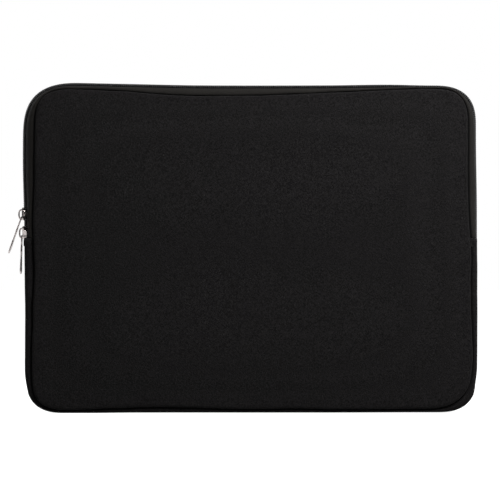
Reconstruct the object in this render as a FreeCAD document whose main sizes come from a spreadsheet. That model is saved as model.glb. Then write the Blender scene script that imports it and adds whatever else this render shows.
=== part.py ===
import FreeCAD, Part
import math
import os

import Sketcher

# Laptop sleeve, standing upright on its bottom gusset.
# X runs to the right, the front faces -Y, Z is up and the origin is the middle of the base.
# Lengths are in millimetres. The front panel is one piece of laminate in the real sleeve. It is
# made here as a fixed lower part and a mouth flap, which meet at the line where it folds open.

DIMENSIONS = {
    # whole sleeve
    "sleeve_width": 350.0,
    "sleeve_height": 255.0,
    "sleeve_thickness": 22.0,
    "outer_top_radius": 32.5,
    "outer_bottom_radius": 24.5,
    # padded panels: cover, foam and lining
    "panel_side_gap": 5.7,
    "panel_top_gap": 4.8,
    "panel_bottom_gap": 2.4,
    "panel_top_radius": 28.0,
    "panel_bottom_radius": 24.0,
    "panel_thickness": 4.4,
    "cloth_thickness": 0.6,
    "panel_edge_radius": 2.4,
    # fold line of the mouth
    "fold_height": 162.0,
    "fold_gap": 0.4,
    # zip and gusset band round the edge
    "zip_end_height": 134.0,
    "gusset_end_height": 130.0,
    "band_half_width": 8.4,
    "band_edge_radius": 1.2,
    "gusset_foam_thickness": 2.4,
    "gusset_lining_thickness": 0.5,
    "gusset_inner_half_width": 6.4,
    "coil_height": 2.2,
    "coil_near": 0.75,
    "coil_far": 3.0,
    "coil_edge_radius": 0.6,
    "tape_near": 1.0,
    "end_tab_proud": 0.5,
    "end_tab_depth": 2.8,
    "end_tab_half_width": 7.8,
    "end_tab_radius": 1.6,
    # binding sewn over the seam allowance inside
    "binding_margin": 1.5,
    "binding_width": 6.5,
    "binding_thickness": 0.5,
    # sliders
    "upper_slider_height": 153.8,
    "lower_slider_height": 139.4,
    "slider_half_length": 4.95,
    "slider_head_half_width": 4.9,
    "slider_tail_half_width": 4.2,
    "slider_plate_near": 0.3,
    "slider_plate_far": 1.5,
    "slider_flange_reach": 1.9,
    "slider_inner_near": 3.1,
    "slider_inner_far": 4.1,
    "slider_channel_half_width": 3.4,
    "slider_post_half_width": 0.45,
    "slider_post_half_length": 1.8,
    "slider_edge_radius": 0.35,
    "bridge_half_width": 0.8,
    "bridge_half_length": 3.6,
    "bridge_rise": 4.3,
    "bridge_metal": 0.9,
    "bridge_radius": 1.7,
    # pulls
    "pull_pivot_rise": 2.45,
    "pull_pivot_drop": 1.75,
    "pull_length": 29.7,
    "pull_eye_length": 6.2,
    "pull_eye_half_width": 2.2,
    "pull_window_half_width": 1.15,
    "pull_bar_half": 0.5,
    "pull_eye_half_thickness": 0.5,
    "pull_tab_half_width": 2.9,
    "pull_tab_half_thickness": 0.7,
    "pull_tab_radius": 1.8,
    "upper_pull_angle": 18.6,
    "lower_pull_angle": 0.9,
}


class Length:
    """A value together with the spreadsheet expression that gives it."""

    def __init__(self, value, text):
        self.value = value
        self.text = text

    def combine(self, other, sign, flip=False):
        if not isinstance(other, Length):
            other = Length(float(other), repr(float(other)))
        left, right = (other, self) if flip else (self, other)
        results = {"+": left.value + right.value, "-": left.value - right.value,
                   "*": left.value * right.value}
        return Length(results[sign], f"({left.text} {sign} {right.text})")

    def __add__(self, other):
        return self.combine(other, "+")

    def __sub__(self, other):
        return self.combine(other, "-")

    def __mul__(self, other):
        return self.combine(other, "*")

    def __radd__(self, other):
        return self.combine(other, "+", flip=True)

    def __rsub__(self, other):
        return self.combine(other, "-", flip=True)

    def __rmul__(self, other):
        return self.combine(other, "*", flip=True)

    def __neg__(self):
        return -1.0 * self


def dim(name):
    return Length(DIMENSIONS[name], f"dims.{name}")


class Outline:
    """A rounded rectangle, symmetric about X = 0, seen from the front."""

    def __init__(self, half_width, low, high, low_radius, high_radius):
        self.half_width = half_width
        self.low = low
        self.high = high
        self.low_radius = low_radius
        self.high_radius = high_radius

    def inset(self, amount):
        return Outline(self.half_width - amount, self.low + amount, self.high - amount,
                       self.low_radius - amount, self.high_radius - amount)


doc = FreeCAD.newDocument("laptop_sleeve")
sheet = doc.addObject("Spreadsheet::Sheet", "dims")
for row, (name, value) in enumerate(DIMENSIONS.items(), start=1):
    sheet.set(f"A{row}", name)
    sheet.set(f"B{row}", str(value))
    sheet.setAlias(f"B{row}", name)
doc.recompute()

nodes = []


def new_body(name):
    body = doc.addObject("PartDesign::Body", name)
    body.Label = name
    body.AllowCompound = True
    nodes.append(body)
    return body


def new_sketch(body, name, plane, offset):
    """A sketch on one of the body's own planes, moved along the plane's normal."""
    sketch = body.newObject("Sketcher::SketchObject", f"{body.Name}_{name}")
    origin_plane = next(f for f in body.Origin.OriginFeatures if f.Role == plane)
    sketch.AttachmentSupport = (origin_plane, [""])
    sketch.MapMode = "FlatFace"
    sketch.setExpression(".AttachmentOffset.Base.z", offset.text)
    return sketch


def fix_coordinate(sketch, kind, point, length):
    """Hold a sketch point at a signed distance from the origin."""
    geometry, end = point
    if length.value < 0:
        index = sketch.addConstraint(Sketcher.Constraint(kind, geometry, end, -1, 1, -length.value))
        sketch.setExpression(f"Constraints[{index}]", (-length).text)
    else:
        index = sketch.addConstraint(Sketcher.Constraint(kind, -1, 1, geometry, end, length.value))
        sketch.setExpression(f"Constraints[{index}]", length.text)


def add_rounded_rectangle(sketch, x_low, x_high, y_low, y_high, low_radius, high_radius):
    left, right, bottom, top = x_low.value, x_high.value, y_low.value, y_high.value
    low, high = low_radius.value, high_radius.value
    first = sketch.GeometryCount
    quarter = math.pi / 2

    def line(x_start, y_start, x_end, y_end):
        start, end = FreeCAD.Vector(x_start, y_start, 0), FreeCAD.Vector(x_end, y_end, 0)
        sketch.addGeometry(Part.LineSegment(start, end))

    def arc(x, y, radius, turn):
        circle = Part.Circle(FreeCAD.Vector(x, y, 0), FreeCAD.Vector(0, 0, 1), radius)
        sketch.addGeometry(Part.ArcOfCircle(circle, turn * quarter, (turn + 1) * quarter))

    line(left + low, bottom, right - low, bottom)
    arc(right - low, bottom + low, low, 3)
    line(right, bottom + low, right, top - high)
    arc(right - high, top - high, high, 0)
    line(right - high, top, left + high, top)
    arc(left + high, top - high, high, 1)
    line(left, top - high, left, bottom + low)
    arc(left + low, bottom + low, low, 2)
    for step in range(8):
        here, following = first + step, first + (step + 1) % 8
        sketch.addConstraint(Sketcher.Constraint("Tangent", here, 2, following, 1))
    for step, kind in ((0, "Horizontal"), (2, "Vertical"), (4, "Horizontal"), (6, "Vertical")):
        sketch.addConstraint(Sketcher.Constraint(kind, first + step))
    for step, radius in ((1, low_radius), (3, high_radius), (5, high_radius), (7, low_radius)):
        index = sketch.addConstraint(Sketcher.Constraint("Radius", first + step, radius.value))
        sketch.setExpression(f"Constraints[{index}]", radius.text)
    fix_coordinate(sketch, "DistanceY", (first, 1), y_low)
    fix_coordinate(sketch, "DistanceX", (first + 2, 1), x_high)
    fix_coordinate(sketch, "DistanceY", (first + 4, 1), y_high)
    fix_coordinate(sketch, "DistanceX", (first + 6, 1), x_low)


def add_outline(sketch, outline):
    add_rounded_rectangle(sketch, -outline.half_width, outline.half_width, outline.low,
                          outline.high, outline.low_radius, outline.high_radius)


def add_polygon(sketch, corners):
    """A closed polygon with every corner held by two coordinates."""
    first = sketch.GeometryCount
    count = len(corners)
    for step, (x, y) in enumerate(corners):
        next_x, next_y = corners[(step + 1) % count]
        start = FreeCAD.Vector(x.value, y.value, 0)
        end = FreeCAD.Vector(next_x.value, next_y.value, 0)
        sketch.addGeometry(Part.LineSegment(start, end))
    for step in range(count):
        here, following = first + step, first + (step + 1) % count
        sketch.addConstraint(Sketcher.Constraint("Coincident", here, 2, following, 1))
    for step, (x, y) in enumerate(corners):
        fix_coordinate(sketch, "DistanceX", (first + step, 1), x)
        fix_coordinate(sketch, "DistanceY", (first + step, 1), y)


def add_rectangle(sketch, x_low, x_high, y_low, y_high):
    add_polygon(sketch, [(x_low, y_low), (x_high, y_low), (x_high, y_high), (x_low, y_high)])


def pad(body, sketch, depth):
    feature = body.newObject("PartDesign::Pad", f"{sketch.Name}_pad")
    feature.Profile = sketch
    feature.setExpression("Length", depth.text)
    doc.recompute()
    return feature


def pocket(body, sketch, depth):
    feature = body.newObject("PartDesign::Pocket", f"{sketch.Name}_cut")
    feature.Profile = sketch
    volume_before = body.Shape.Volume
    feature.setExpression("Length", depth.text)
    doc.recompute()
    if feature.Shape.Volume >= volume_before:
        raise ValueError(f"{feature.Name} removes nothing")
    return feature


def front_sketch(body, name, y_start):
    """A sketch in the XZ plane. Its normal is -Y: pads grow to the front, cuts go to the rear."""
    return new_sketch(body, name, "XZ_Plane", -y_start)


def slab(body, name, y_low, y_high, *outlines):
    """Pad an outline, or the ring between two, from y_high forward to y_low."""
    sketch = front_sketch(body, name, y_high)
    for outline in outlines:
        add_outline(sketch, outline)
    return pad(body, sketch, y_high - y_low)


def cut_slab(body, name, y_low, y_high, outline):
    sketch = front_sketch(body, name, y_low)
    add_outline(sketch, outline)
    return pocket(body, sketch, y_high - y_low)


def trim(body, name, z_low, z_high):
    """Remove everything between two heights."""
    sketch = front_sketch(body, name, -dim("sleeve_thickness"))
    width = dim("sleeve_width")
    add_rectangle(sketch, -width, width, z_low, z_high)
    return pocket(body, sketch, 2 * dim("sleeve_thickness"))


def keep_above(body, height):
    return trim(body, "bottom_trim", -dim("outer_top_radius"), height)


def keep_below(body, height):
    return trim(body, "top_trim", height, dim("sleeve_height") + dim("outer_top_radius"))


def round_edges(body, base, radius, choose):
    """Fillet every edge of the base feature for which choose(edge) is true."""
    names = [f"Edge{i}" for i, edge in enumerate(base.Shape.Edges, start=1) if choose(edge)]
    fillet = body.newObject("PartDesign::Fillet", f"{base.Name}_round")
    fillet.Base = (base, names)
    fillet.setExpression("Radius", radius.text)
    doc.recompute()
    return fillet


def edge_at(axis, position):
    """Chooses edges that lie in the plane where the coordinate has this value."""
    def choose(edge):
        box = edge.BoundBox
        low, high = (box.XMin, box.XMax) if axis == "x" else (box.YMin, box.YMax)
        return abs(low - position) < 1e-4 and abs(high - position) < 1e-4
    return choose


silhouette = Outline(0.5 * dim("sleeve_width"), 0 * dim("sleeve_height"), dim("sleeve_height"),
                     dim("outer_bottom_radius"), dim("outer_top_radius"))
panel = Outline(silhouette.half_width - dim("panel_side_gap"), dim("panel_bottom_gap"),
                dim("sleeve_height") - dim("panel_top_gap"),
                dim("panel_bottom_radius"), dim("panel_top_radius"))
panel_core = panel.inset(dim("cloth_thickness"))

half_thickness = 0.5 * dim("sleeve_thickness")
panel_inner = half_thickness - dim("panel_thickness")
lining_outer = panel_inner + dim("cloth_thickness")
foam_outer = half_thickness - dim("cloth_thickness")
fold_below = dim("fold_height") - 0.5 * dim("fold_gap")
fold_above = dim("fold_height") + 0.5 * dim("fold_gap")


def span(side, near, far):
    """The Y range of a layer between two distances from the middle, on the front or rear."""
    return (-far, -near) if side == "front" else (near, far)


def outer_y(side, far):
    return -far.value if side == "front" else far.value


# Each panel's part names and how it is trimmed at the fold line.
PANEL_PARTS = [
    ("front", "_lower", lambda body: keep_below(body, fold_below)),
    ("front", "_flap", lambda body: keep_above(body, fold_above)),
    ("rear", "", None),
]


def make_cover(side, suffix, cut):
    """The outer fabric, a shallow tray with a rounded edge turned in round the foam."""
    body = new_body(f"{side}_cover{suffix}")
    block = slab(body, "outline", *span(side, panel_inner, half_thickness), panel)
    rounded = round_edges(body, block, dim("panel_edge_radius"),
                          edge_at("y", outer_y(side, half_thickness)))
    open_y = outer_y(side, panel_inner)
    open_face = next(f"Face{i}" for i, face in enumerate(rounded.Shape.Faces, start=1)
                     if abs(face.CenterOfMass.y - open_y) < 1e-4)
    shell = body.newObject("PartDesign::Thickness", f"{body.Name}_shell")
    shell.Base = (rounded, [open_face])
    shell.setExpression("Value", dim("cloth_thickness").text)
    shell.Reversed = True
    doc.recompute()
    if cut:
        cut(body)


def make_foam(side, suffix, cut):
    body = new_body(f"{side}_foam{suffix}")
    block = slab(body, "outline", *span(side, lining_outer, foam_outer), panel_core)
    round_edges(body, block, dim("panel_edge_radius") - dim("cloth_thickness"),
                edge_at("y", outer_y(side, foam_outer)))
    if cut:
        cut(body)


def make_lining(side, suffix, cut):
    body = new_body(f"{side}_lining{suffix}")
    slab(body, "outline", *span(side, panel_inner, lining_outer), panel_core)
    if cut:
        cut(body)


def make_binding(side, suffix, cut):
    """The binding tape sewn over the seam allowance, on the lining's border."""
    body = new_body(f"{side}_seam_binding{suffix}")
    outer = panel.inset(dim("binding_margin"))
    inner = outer.inset(dim("binding_width"))
    near = panel_inner - dim("binding_thickness")
    slab(body, "ring", *span(side, near, panel_inner), outer, inner)
    if cut:
        cut(body)


for part in PANEL_PARTS:
    make_cover(*part)
    make_foam(*part)
    make_lining(*part)
    make_binding(*part)


def above_fold(body):
    keep_above(body, fold_above)


def between_zip_end_and_fold(body):
    keep_above(body, dim("zip_end_height"))
    keep_below(body, fold_below)


def above_zip_end(body):
    keep_above(body, dim("zip_end_height"))


ZIP_PARTS = [
    ("front", "_ends", between_zip_end_and_fold),
    ("front", "_flap", above_fold),
    ("rear", "", above_zip_end),
]
tape_outside = silhouette.inset(dim("coil_height"))
tape_inside = tape_outside.inset(dim("cloth_thickness"))


def make_zip_tape(side, suffix, cut):
    """The woven tape: a band under the coil and a flange that runs back to the panel seam."""
    body = new_body(f"{side}_zip_tape{suffix}")
    flange_near = dim("band_half_width") - dim("cloth_thickness")
    slab(body, "band", *span(side, dim("tape_near"), dim("band_half_width")),
         tape_outside, tape_inside)
    slab(body, "flange", *span(side, flange_near, dim("band_half_width")), tape_outside, panel)
    cut(body)


def make_zip_coil(side, suffix, cut):
    """One half of the closed chain. The slot between the halves is where the slider posts run."""
    body = new_body(f"{side}_zip_coil{suffix}")
    block = slab(body, "bead", *span(side, dim("coil_near"), dim("coil_far")),
                 silhouette, tape_outside)
    far = outer_y(side, dim("coil_far"))
    outer_size = DIMENSIONS["sleeve_width"] / 2 - DIMENSIONS["coil_height"] / 2
    on_far_side = edge_at("y", far)

    def outer_edge(edge):
        box = edge.BoundBox
        centre_height = DIMENSIONS["sleeve_height"] / 2
        reach_x = max(abs(box.XMin), abs(box.XMax)) > outer_size
        reach_z = max(abs(box.ZMin - centre_height), abs(box.ZMax - centre_height))
        return on_far_side(edge) and (reach_x or reach_z > centre_height - 1.0)

    round_edges(body, block, dim("coil_edge_radius"), outer_edge)
    cut(body)


for part in ZIP_PARTS:
    make_zip_tape(*part)
    make_zip_coil(*part)

# Gusset band below the zip: a fabric channel with a foam strip and a lining strip inside it.
gusset_cover = new_body("gusset_cover")
band = dim("band_half_width")
gusset_block = slab(gusset_cover, "band", -band, band, silhouette, panel)
for edge_y in (-DIMENSIONS["band_half_width"], DIMENSIONS["band_half_width"]):
    on_this_side = edge_at("y", edge_y)

    def on_silhouette(edge):
        box = edge.BoundBox
        corner = edge.Curve.TypeId == "Part::GeomCircle"
        if corner:
            radius = edge.Curve.Radius
            outer = min(abs(radius - DIMENSIONS["outer_top_radius"]),
                        abs(radius - DIMENSIONS["outer_bottom_radius"])) < 1e-4
        else:
            outer = (max(abs(box.XMin), abs(box.XMax)) > DIMENSIONS["sleeve_width"] / 2 - 0.1
                     or box.ZMax < 0.1 or box.ZMin > DIMENSIONS["sleeve_height"] - 0.1)
        return on_this_side(edge) and outer

    gusset_block = round_edges(gusset_cover, gusset_block, dim("band_edge_radius"), on_silhouette)
inside_band = band - dim("cloth_thickness")
cut_slab(gusset_cover, "hollow", -inside_band, inside_band, silhouette.inset(dim("cloth_thickness")))
keep_below(gusset_cover, dim("gusset_end_height"))

foam_start = silhouette.inset(dim("cloth_thickness"))
foam_end = foam_start.inset(dim("gusset_foam_thickness"))
lining_end = foam_end.inset(dim("gusset_lining_thickness"))
inner_width = dim("gusset_inner_half_width")
for name, outer, inner in (("gusset_foam", foam_start, foam_end),
                           ("gusset_lining", foam_end, lining_end)):
    strip = new_body(name)
    slab(strip, "strip", -inner_width, inner_width, outer, inner)
    keep_below(strip, dim("gusset_end_height"))

# Folded fabric tabs that close each end of the zip, between it and the gusset.
for name, sign in (("left_zip_end_tab", -1), ("right_zip_end_tab", 1)):
    tab = new_body(name)
    outer_x = sign * (silhouette.half_width + dim("end_tab_proud"))
    inner_x = sign * (silhouette.half_width - dim("end_tab_depth"))
    x_range = (outer_x, inner_x) if sign < 0 else (inner_x, outer_x)
    sketch = new_sketch(tab, "section", "XY_Plane", dim("gusset_end_height"))
    half_width = dim("end_tab_half_width")
    add_rectangle(sketch, *x_range, -half_width, half_width)
    block = pad(tab, sketch, dim("zip_end_height") - dim("gusset_end_height"))
    round_edges(tab, block, dim("end_tab_radius"), edge_at("x", outer_x.value))


def chain_x(rise):
    """X at a distance outward from the outside of the chain, on the left side."""
    return -(silhouette.half_width + rise)


def make_slider_body(name, height, head_up):
    """Two plates held apart by a post. Flanges on the outer plate guide the coils."""
    body = new_body(name)
    half = dim("slider_half_length")
    outer_x = chain_x(dim("slider_plate_far"))
    inner_x = chain_x(-dim("slider_inner_far"))
    head, tail = dim("slider_head_half_width"), dim("slider_tail_half_width")
    low, high = (tail, head) if head_up else (head, tail)

    plan = new_sketch(body, "plan", "YZ_Plane", outer_x)
    z_low, z_high = height - half, height + half
    add_polygon(plan, [(-low, z_low), (low, z_low), (tail, height),
                       (high, z_high), (-high, z_high), (-tail, height)])
    block = pad(body, plan, inner_x - outer_x)
    round_edges(body, block, dim("slider_edge_radius"), edge_at("x", outer_x.value))

    # One side of the coil channel and tape slot, then the same on the other side.
    channel = new_sketch(body, "channel", "XY_Plane", z_high + half)
    near, wall = dim("slider_post_half_width"), dim("slider_channel_half_width")
    beyond = 2 * head
    plate_x = chain_x(dim("slider_plate_near"))
    flange_x = chain_x(-dim("slider_flange_reach"))
    slot_x = chain_x(-dim("slider_inner_near"))
    for sign in (1, -1):
        add_polygon(channel, [(plate_x, sign * near), (plate_x, sign * wall),
                              (flange_x, sign * wall), (flange_x, sign * beyond),
                              (slot_x, sign * beyond), (slot_x, sign * near)])
    pocket(body, channel, 4 * half)

    # The post is short: the coils meet and part above and below it.
    post = dim("slider_post_half_length")
    ends = new_sketch(body, "post_ends", "YZ_Plane", slot_x)
    add_rectangle(ends, -2 * near, 2 * near, height + post, z_high + half)
    add_rectangle(ends, -2 * near, 2 * near, z_low - half, height - post)
    pocket(body, ends, slot_x - plate_x)


def make_slider_bridge(name, height):
    """The arch that holds the pull, fixed to the slider's outer plate."""
    body = new_body(name)
    half_width, half_length = dim("bridge_half_width"), dim("bridge_half_length")
    metal, radius = dim("bridge_metal"), dim("bridge_radius")
    top_x, foot_x = chain_x(dim("bridge_rise")), chain_x(dim("slider_plate_far"))
    hidden_x = foot_x + dim("bridge_rise")
    ring = front_sketch(body, "arch", half_width)
    add_rounded_rectangle(ring, top_x, hidden_x, height - half_length, height + half_length,
                          radius, radius)
    add_rounded_rectangle(ring, top_x + metal, hidden_x - metal, height - half_length + metal,
                          height + half_length - metal, radius - metal, radius - metal)
    pad(body, ring, 2 * half_width)
    feet = front_sketch(body, "feet", -half_width)
    add_rectangle(feet, foot_x, hidden_x + metal, height - 2 * half_length,
                  height + 2 * half_length)
    pocket(body, feet, 2 * half_width)


def make_pull(name, height, angle):
    """A plate hung on the bridge by the bar at the end of its eye, drawn hanging straight down
    from the origin and then turned outward about that bar."""
    body = new_body(name)
    eye_width, tab_width = dim("pull_eye_half_width"), dim("pull_tab_half_width")
    eye_depth, tab_depth = dim("pull_eye_half_thickness"), dim("pull_tab_half_thickness")
    eye_length, bar = dim("pull_eye_length"), dim("pull_bar_half")

    eye = new_sketch(body, "eye", "YZ_Plane", -eye_depth)
    add_rectangle(eye, -eye_width, eye_width, -eye_length - 2 * bar, bar)
    pad(body, eye, 2 * eye_depth)
    tab_plan = new_sketch(body, "tab", "YZ_Plane", -tab_depth)
    tab_radius = dim("pull_tab_radius")
    add_rounded_rectangle(tab_plan, -tab_width, tab_width, -dim("pull_length"), -eye_length,
                          tab_radius, tab_radius)
    pad(body, tab_plan, 2 * tab_depth)
    window = new_sketch(body, "window", "YZ_Plane", tab_depth)
    gap = dim("pull_window_half_width")
    add_rectangle(window, -gap, gap, -eye_length, -bar)
    pocket(body, window, 2 * tab_depth)

    body.Placement = FreeCAD.Placement(FreeCAD.Vector(0, 0, 0),
                                       FreeCAD.Rotation(FreeCAD.Vector(0, 1, 0), 1.0))
    body.setExpression(".Placement.Base.x", chain_x(dim("pull_pivot_rise")).text)
    body.setExpression(".Placement.Base.z", (height - dim("pull_pivot_drop")).text)
    body.setExpression(".Placement.Rotation.Angle", angle.text)


for level, head_up in (("upper", False), ("lower", True)):
    slider_height = dim(f"{level}_slider_height")
    make_slider_body(f"{level}_slider_body", slider_height, head_up)
    make_slider_bridge(f"{level}_slider_bridge", slider_height)
    make_pull(f"{level}_slider_pull", slider_height, dim(f"{level}_pull_angle"))

doc.recompute()
for item in doc.Objects:
    if "Invalid" in item.State or "Error" in item.State:
        raise ValueError(f"{item.Name} did not build: {item.State}")

os.makedirs("parts", exist_ok=True)
for body in nodes:
    if body.Shape.isNull() or not body.Shape.isValid():
        raise ValueError(f"{body.Label} has no valid shape")
    body.Shape.exportStep(f"parts/{body.Label}.step")
    box = body.Shape.optimalBoundingBox()
    print(f"{body.Label:28s} solids {len(body.Shape.Solids)} volume {body.Shape.Volume:9.1f} "
          f"x {box.XMin:7.1f} {box.XMax:7.1f} y {box.YMin:6.2f} {box.YMax:6.2f} "
          f"z {box.ZMin:6.1f} {box.ZMax:6.1f}")
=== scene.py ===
"""Looks of a padded laptop sleeve whose coil zip has two sliders.

The sleeve stands on its bottom gusset. X runs to the right, the front faces -Y and Z is up. Sizes
in the classes below are in millimetres; a mesh is scaled to metres when it is made.
"""
import logging
import math
from dataclasses import dataclass, field
from enum import Enum

import bmesh
import bpy
import numpy as np
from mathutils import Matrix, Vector


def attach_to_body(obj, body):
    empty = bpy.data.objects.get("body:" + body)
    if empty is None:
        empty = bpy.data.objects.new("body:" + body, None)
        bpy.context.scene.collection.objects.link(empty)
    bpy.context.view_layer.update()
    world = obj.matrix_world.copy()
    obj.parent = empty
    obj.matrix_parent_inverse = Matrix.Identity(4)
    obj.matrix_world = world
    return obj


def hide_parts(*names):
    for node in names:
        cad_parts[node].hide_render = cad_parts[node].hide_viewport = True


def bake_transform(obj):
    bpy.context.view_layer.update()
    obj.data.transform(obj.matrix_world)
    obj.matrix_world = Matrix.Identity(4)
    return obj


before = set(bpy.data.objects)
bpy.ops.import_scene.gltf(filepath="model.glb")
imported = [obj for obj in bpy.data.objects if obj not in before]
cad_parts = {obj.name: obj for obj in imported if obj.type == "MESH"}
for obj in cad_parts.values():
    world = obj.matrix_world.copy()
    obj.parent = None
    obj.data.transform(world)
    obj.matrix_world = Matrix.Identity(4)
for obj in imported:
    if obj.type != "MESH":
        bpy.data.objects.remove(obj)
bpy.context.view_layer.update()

LOG = logging.getLogger("laptop_sleeve")
MM = 0.001
SLEEVE, FLAP = "sleeve", "mouth_flap"


class Side(Enum):
    """Which panel of the sleeve a piece belongs to; the value is its sign along Y."""

    FRONT = -1.0
    REAR = 1.0


# ---------------------------------------------------------------------------------------------
# Curves and surfaces
# ---------------------------------------------------------------------------------------------


def ease(x: np.ndarray, start: float, end: float) -> np.ndarray:
    """Smooth step from 0 at start to 1 at end, with flat ends (3t^2 - 2t^3).

    Args:
        x: Positions.
        start: Position where the step begins; it may be above end.
        end: Position where the step is complete.

    Returns:
        The step's value at each position.
    """
    t = np.clip((np.asarray(x, float) - start) / (end - start), 0.0, 1.0)
    return t * t * (3.0 - 2.0 * t)


def hump(x: np.ndarray, centre: float, width: float) -> np.ndarray:
    """Bell curve of height 1: exp(-((x - centre) / width)^2 / 2)."""
    return np.exp(-0.5 * ((np.asarray(x, float) - centre) / width) ** 2)


def wander(s: np.ndarray, length: float, seed: int, waves: tuple[float, ...]) -> np.ndarray:
    """Slow irregular wave round a closed seam: a sum of whole-number sine waves.

    Args:
        s: Distance along the seam.
        length: The seam's whole length, over which each wave closes.
        seed: Seed of the waves' phases.
        waves: Wavelengths, each rounded so that it fits the length a whole number of times.

    Returns:
        The wave, of about unit height.
    """
    phases = np.random.default_rng(seed).uniform(0.0, 2.0 * np.pi, len(waves))
    counts = [max(1, round(length / wave)) for wave in waves]
    total = sum(np.sin(2 * np.pi * n * s / length + p) for n, p in zip(counts, phases))
    return total / math.sqrt(len(waves))


def distance_along(points: np.ndarray) -> np.ndarray:
    """Distance from the first point to each point of a path."""
    steps = np.linalg.norm(np.diff(points, axis=0), axis=1)
    return np.concatenate([[0.0], np.cumsum(steps)])


def respace(points: np.ndarray, count: int) -> np.ndarray:
    """The same path with its points evenly spaced."""
    s = distance_along(points)
    return read_at(np.linspace(0.0, s[-1], count), s, points)


def unit(vectors: np.ndarray) -> np.ndarray:
    """Vectors scaled to length 1."""
    return vectors / np.maximum(np.linalg.norm(vectors, axis=-1, keepdims=True), 1e-12)


def distance_round(points: np.ndarray) -> tuple[np.ndarray, float]:
    """Distance from the first point to each point of a closed path, and its whole length."""
    s = distance_along(np.concatenate([points, points[:1]]))
    return s[:-1], s[-1]


def read_at(s: np.ndarray, along: np.ndarray, rows: np.ndarray) -> np.ndarray:
    """Rows of values, known at the distances in along, read at the distances in s."""
    return np.stack([np.interp(s, along, column) for column in rows.T], axis=-1)


def at_depth(xz: np.ndarray, y: np.ndarray | float) -> np.ndarray:
    """Points from their X and Z, as drawn in the sleeve's plane, and their depth along Y."""
    return np.stack(np.broadcast_arrays(xz[..., 0], y, xz[..., 1]), axis=-1)


def surface_pair(along: np.ndarray, across: np.ndarray) -> np.ndarray:
    """Surface coordinates of a grid from a column and a row, or from whole grids."""
    return np.stack(np.broadcast_arrays(along, across), axis=-1)


def outward(points: np.ndarray, closed: bool) -> np.ndarray:
    """Outward normals of a clockwise path in the XZ plane: its tangent turned a quarter left."""
    if closed:
        tangent = np.roll(points, -1, axis=0) - np.roll(points, 1, axis=0)
    else:
        tangent = np.gradient(points, axis=0)
    tangent = unit(tangent)
    return np.stack([-tangent[:, 1], tangent[:, 0]], axis=1)


def through(x: np.ndarray, knots: tuple[tuple[float, ...], ...]) -> np.ndarray:
    """Smooth curve through a few knots, flat beyond the first and the last.

    Between two knots it is the cubic whose slopes at the knots are those of the line that joins
    their neighbours.

    Args:
        x: Positions.
        knots: Each knot's position, in rising order, and its one or more values.

    Returns:
        One value, or one row of values, for each position.
    """
    table = np.array(knots, float)
    at, value = table[:, 0], table[:, 1:]
    slope = np.zeros_like(value)
    slope[1:-1] = (value[2:] - value[:-2]) / (at[2:] - at[:-2])[:, None]
    x = np.clip(np.asarray(x, float), at[0], at[-1])
    i = np.clip(np.searchsorted(at, x, side="right") - 1, 0, len(at) - 2)
    gap = (at[i + 1] - at[i])[..., None]
    t = (x - at[i])[..., None] / gap
    curve = ((1 + 2 * t) * (1 - t) ** 2 * value[i] + t * (1 - t) ** 2 * gap * slope[i]
             + t ** 2 * (3 - 2 * t) * value[i + 1] - t ** 2 * (1 - t) * gap * slope[i + 1])
    return curve[..., 0] if value.shape[1] == 1 else curve


Knots = tuple[tuple[float, float], ...]
STRAIGHT: Knots = ((0.0, 0.0), (1.0, 0.0))


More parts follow.
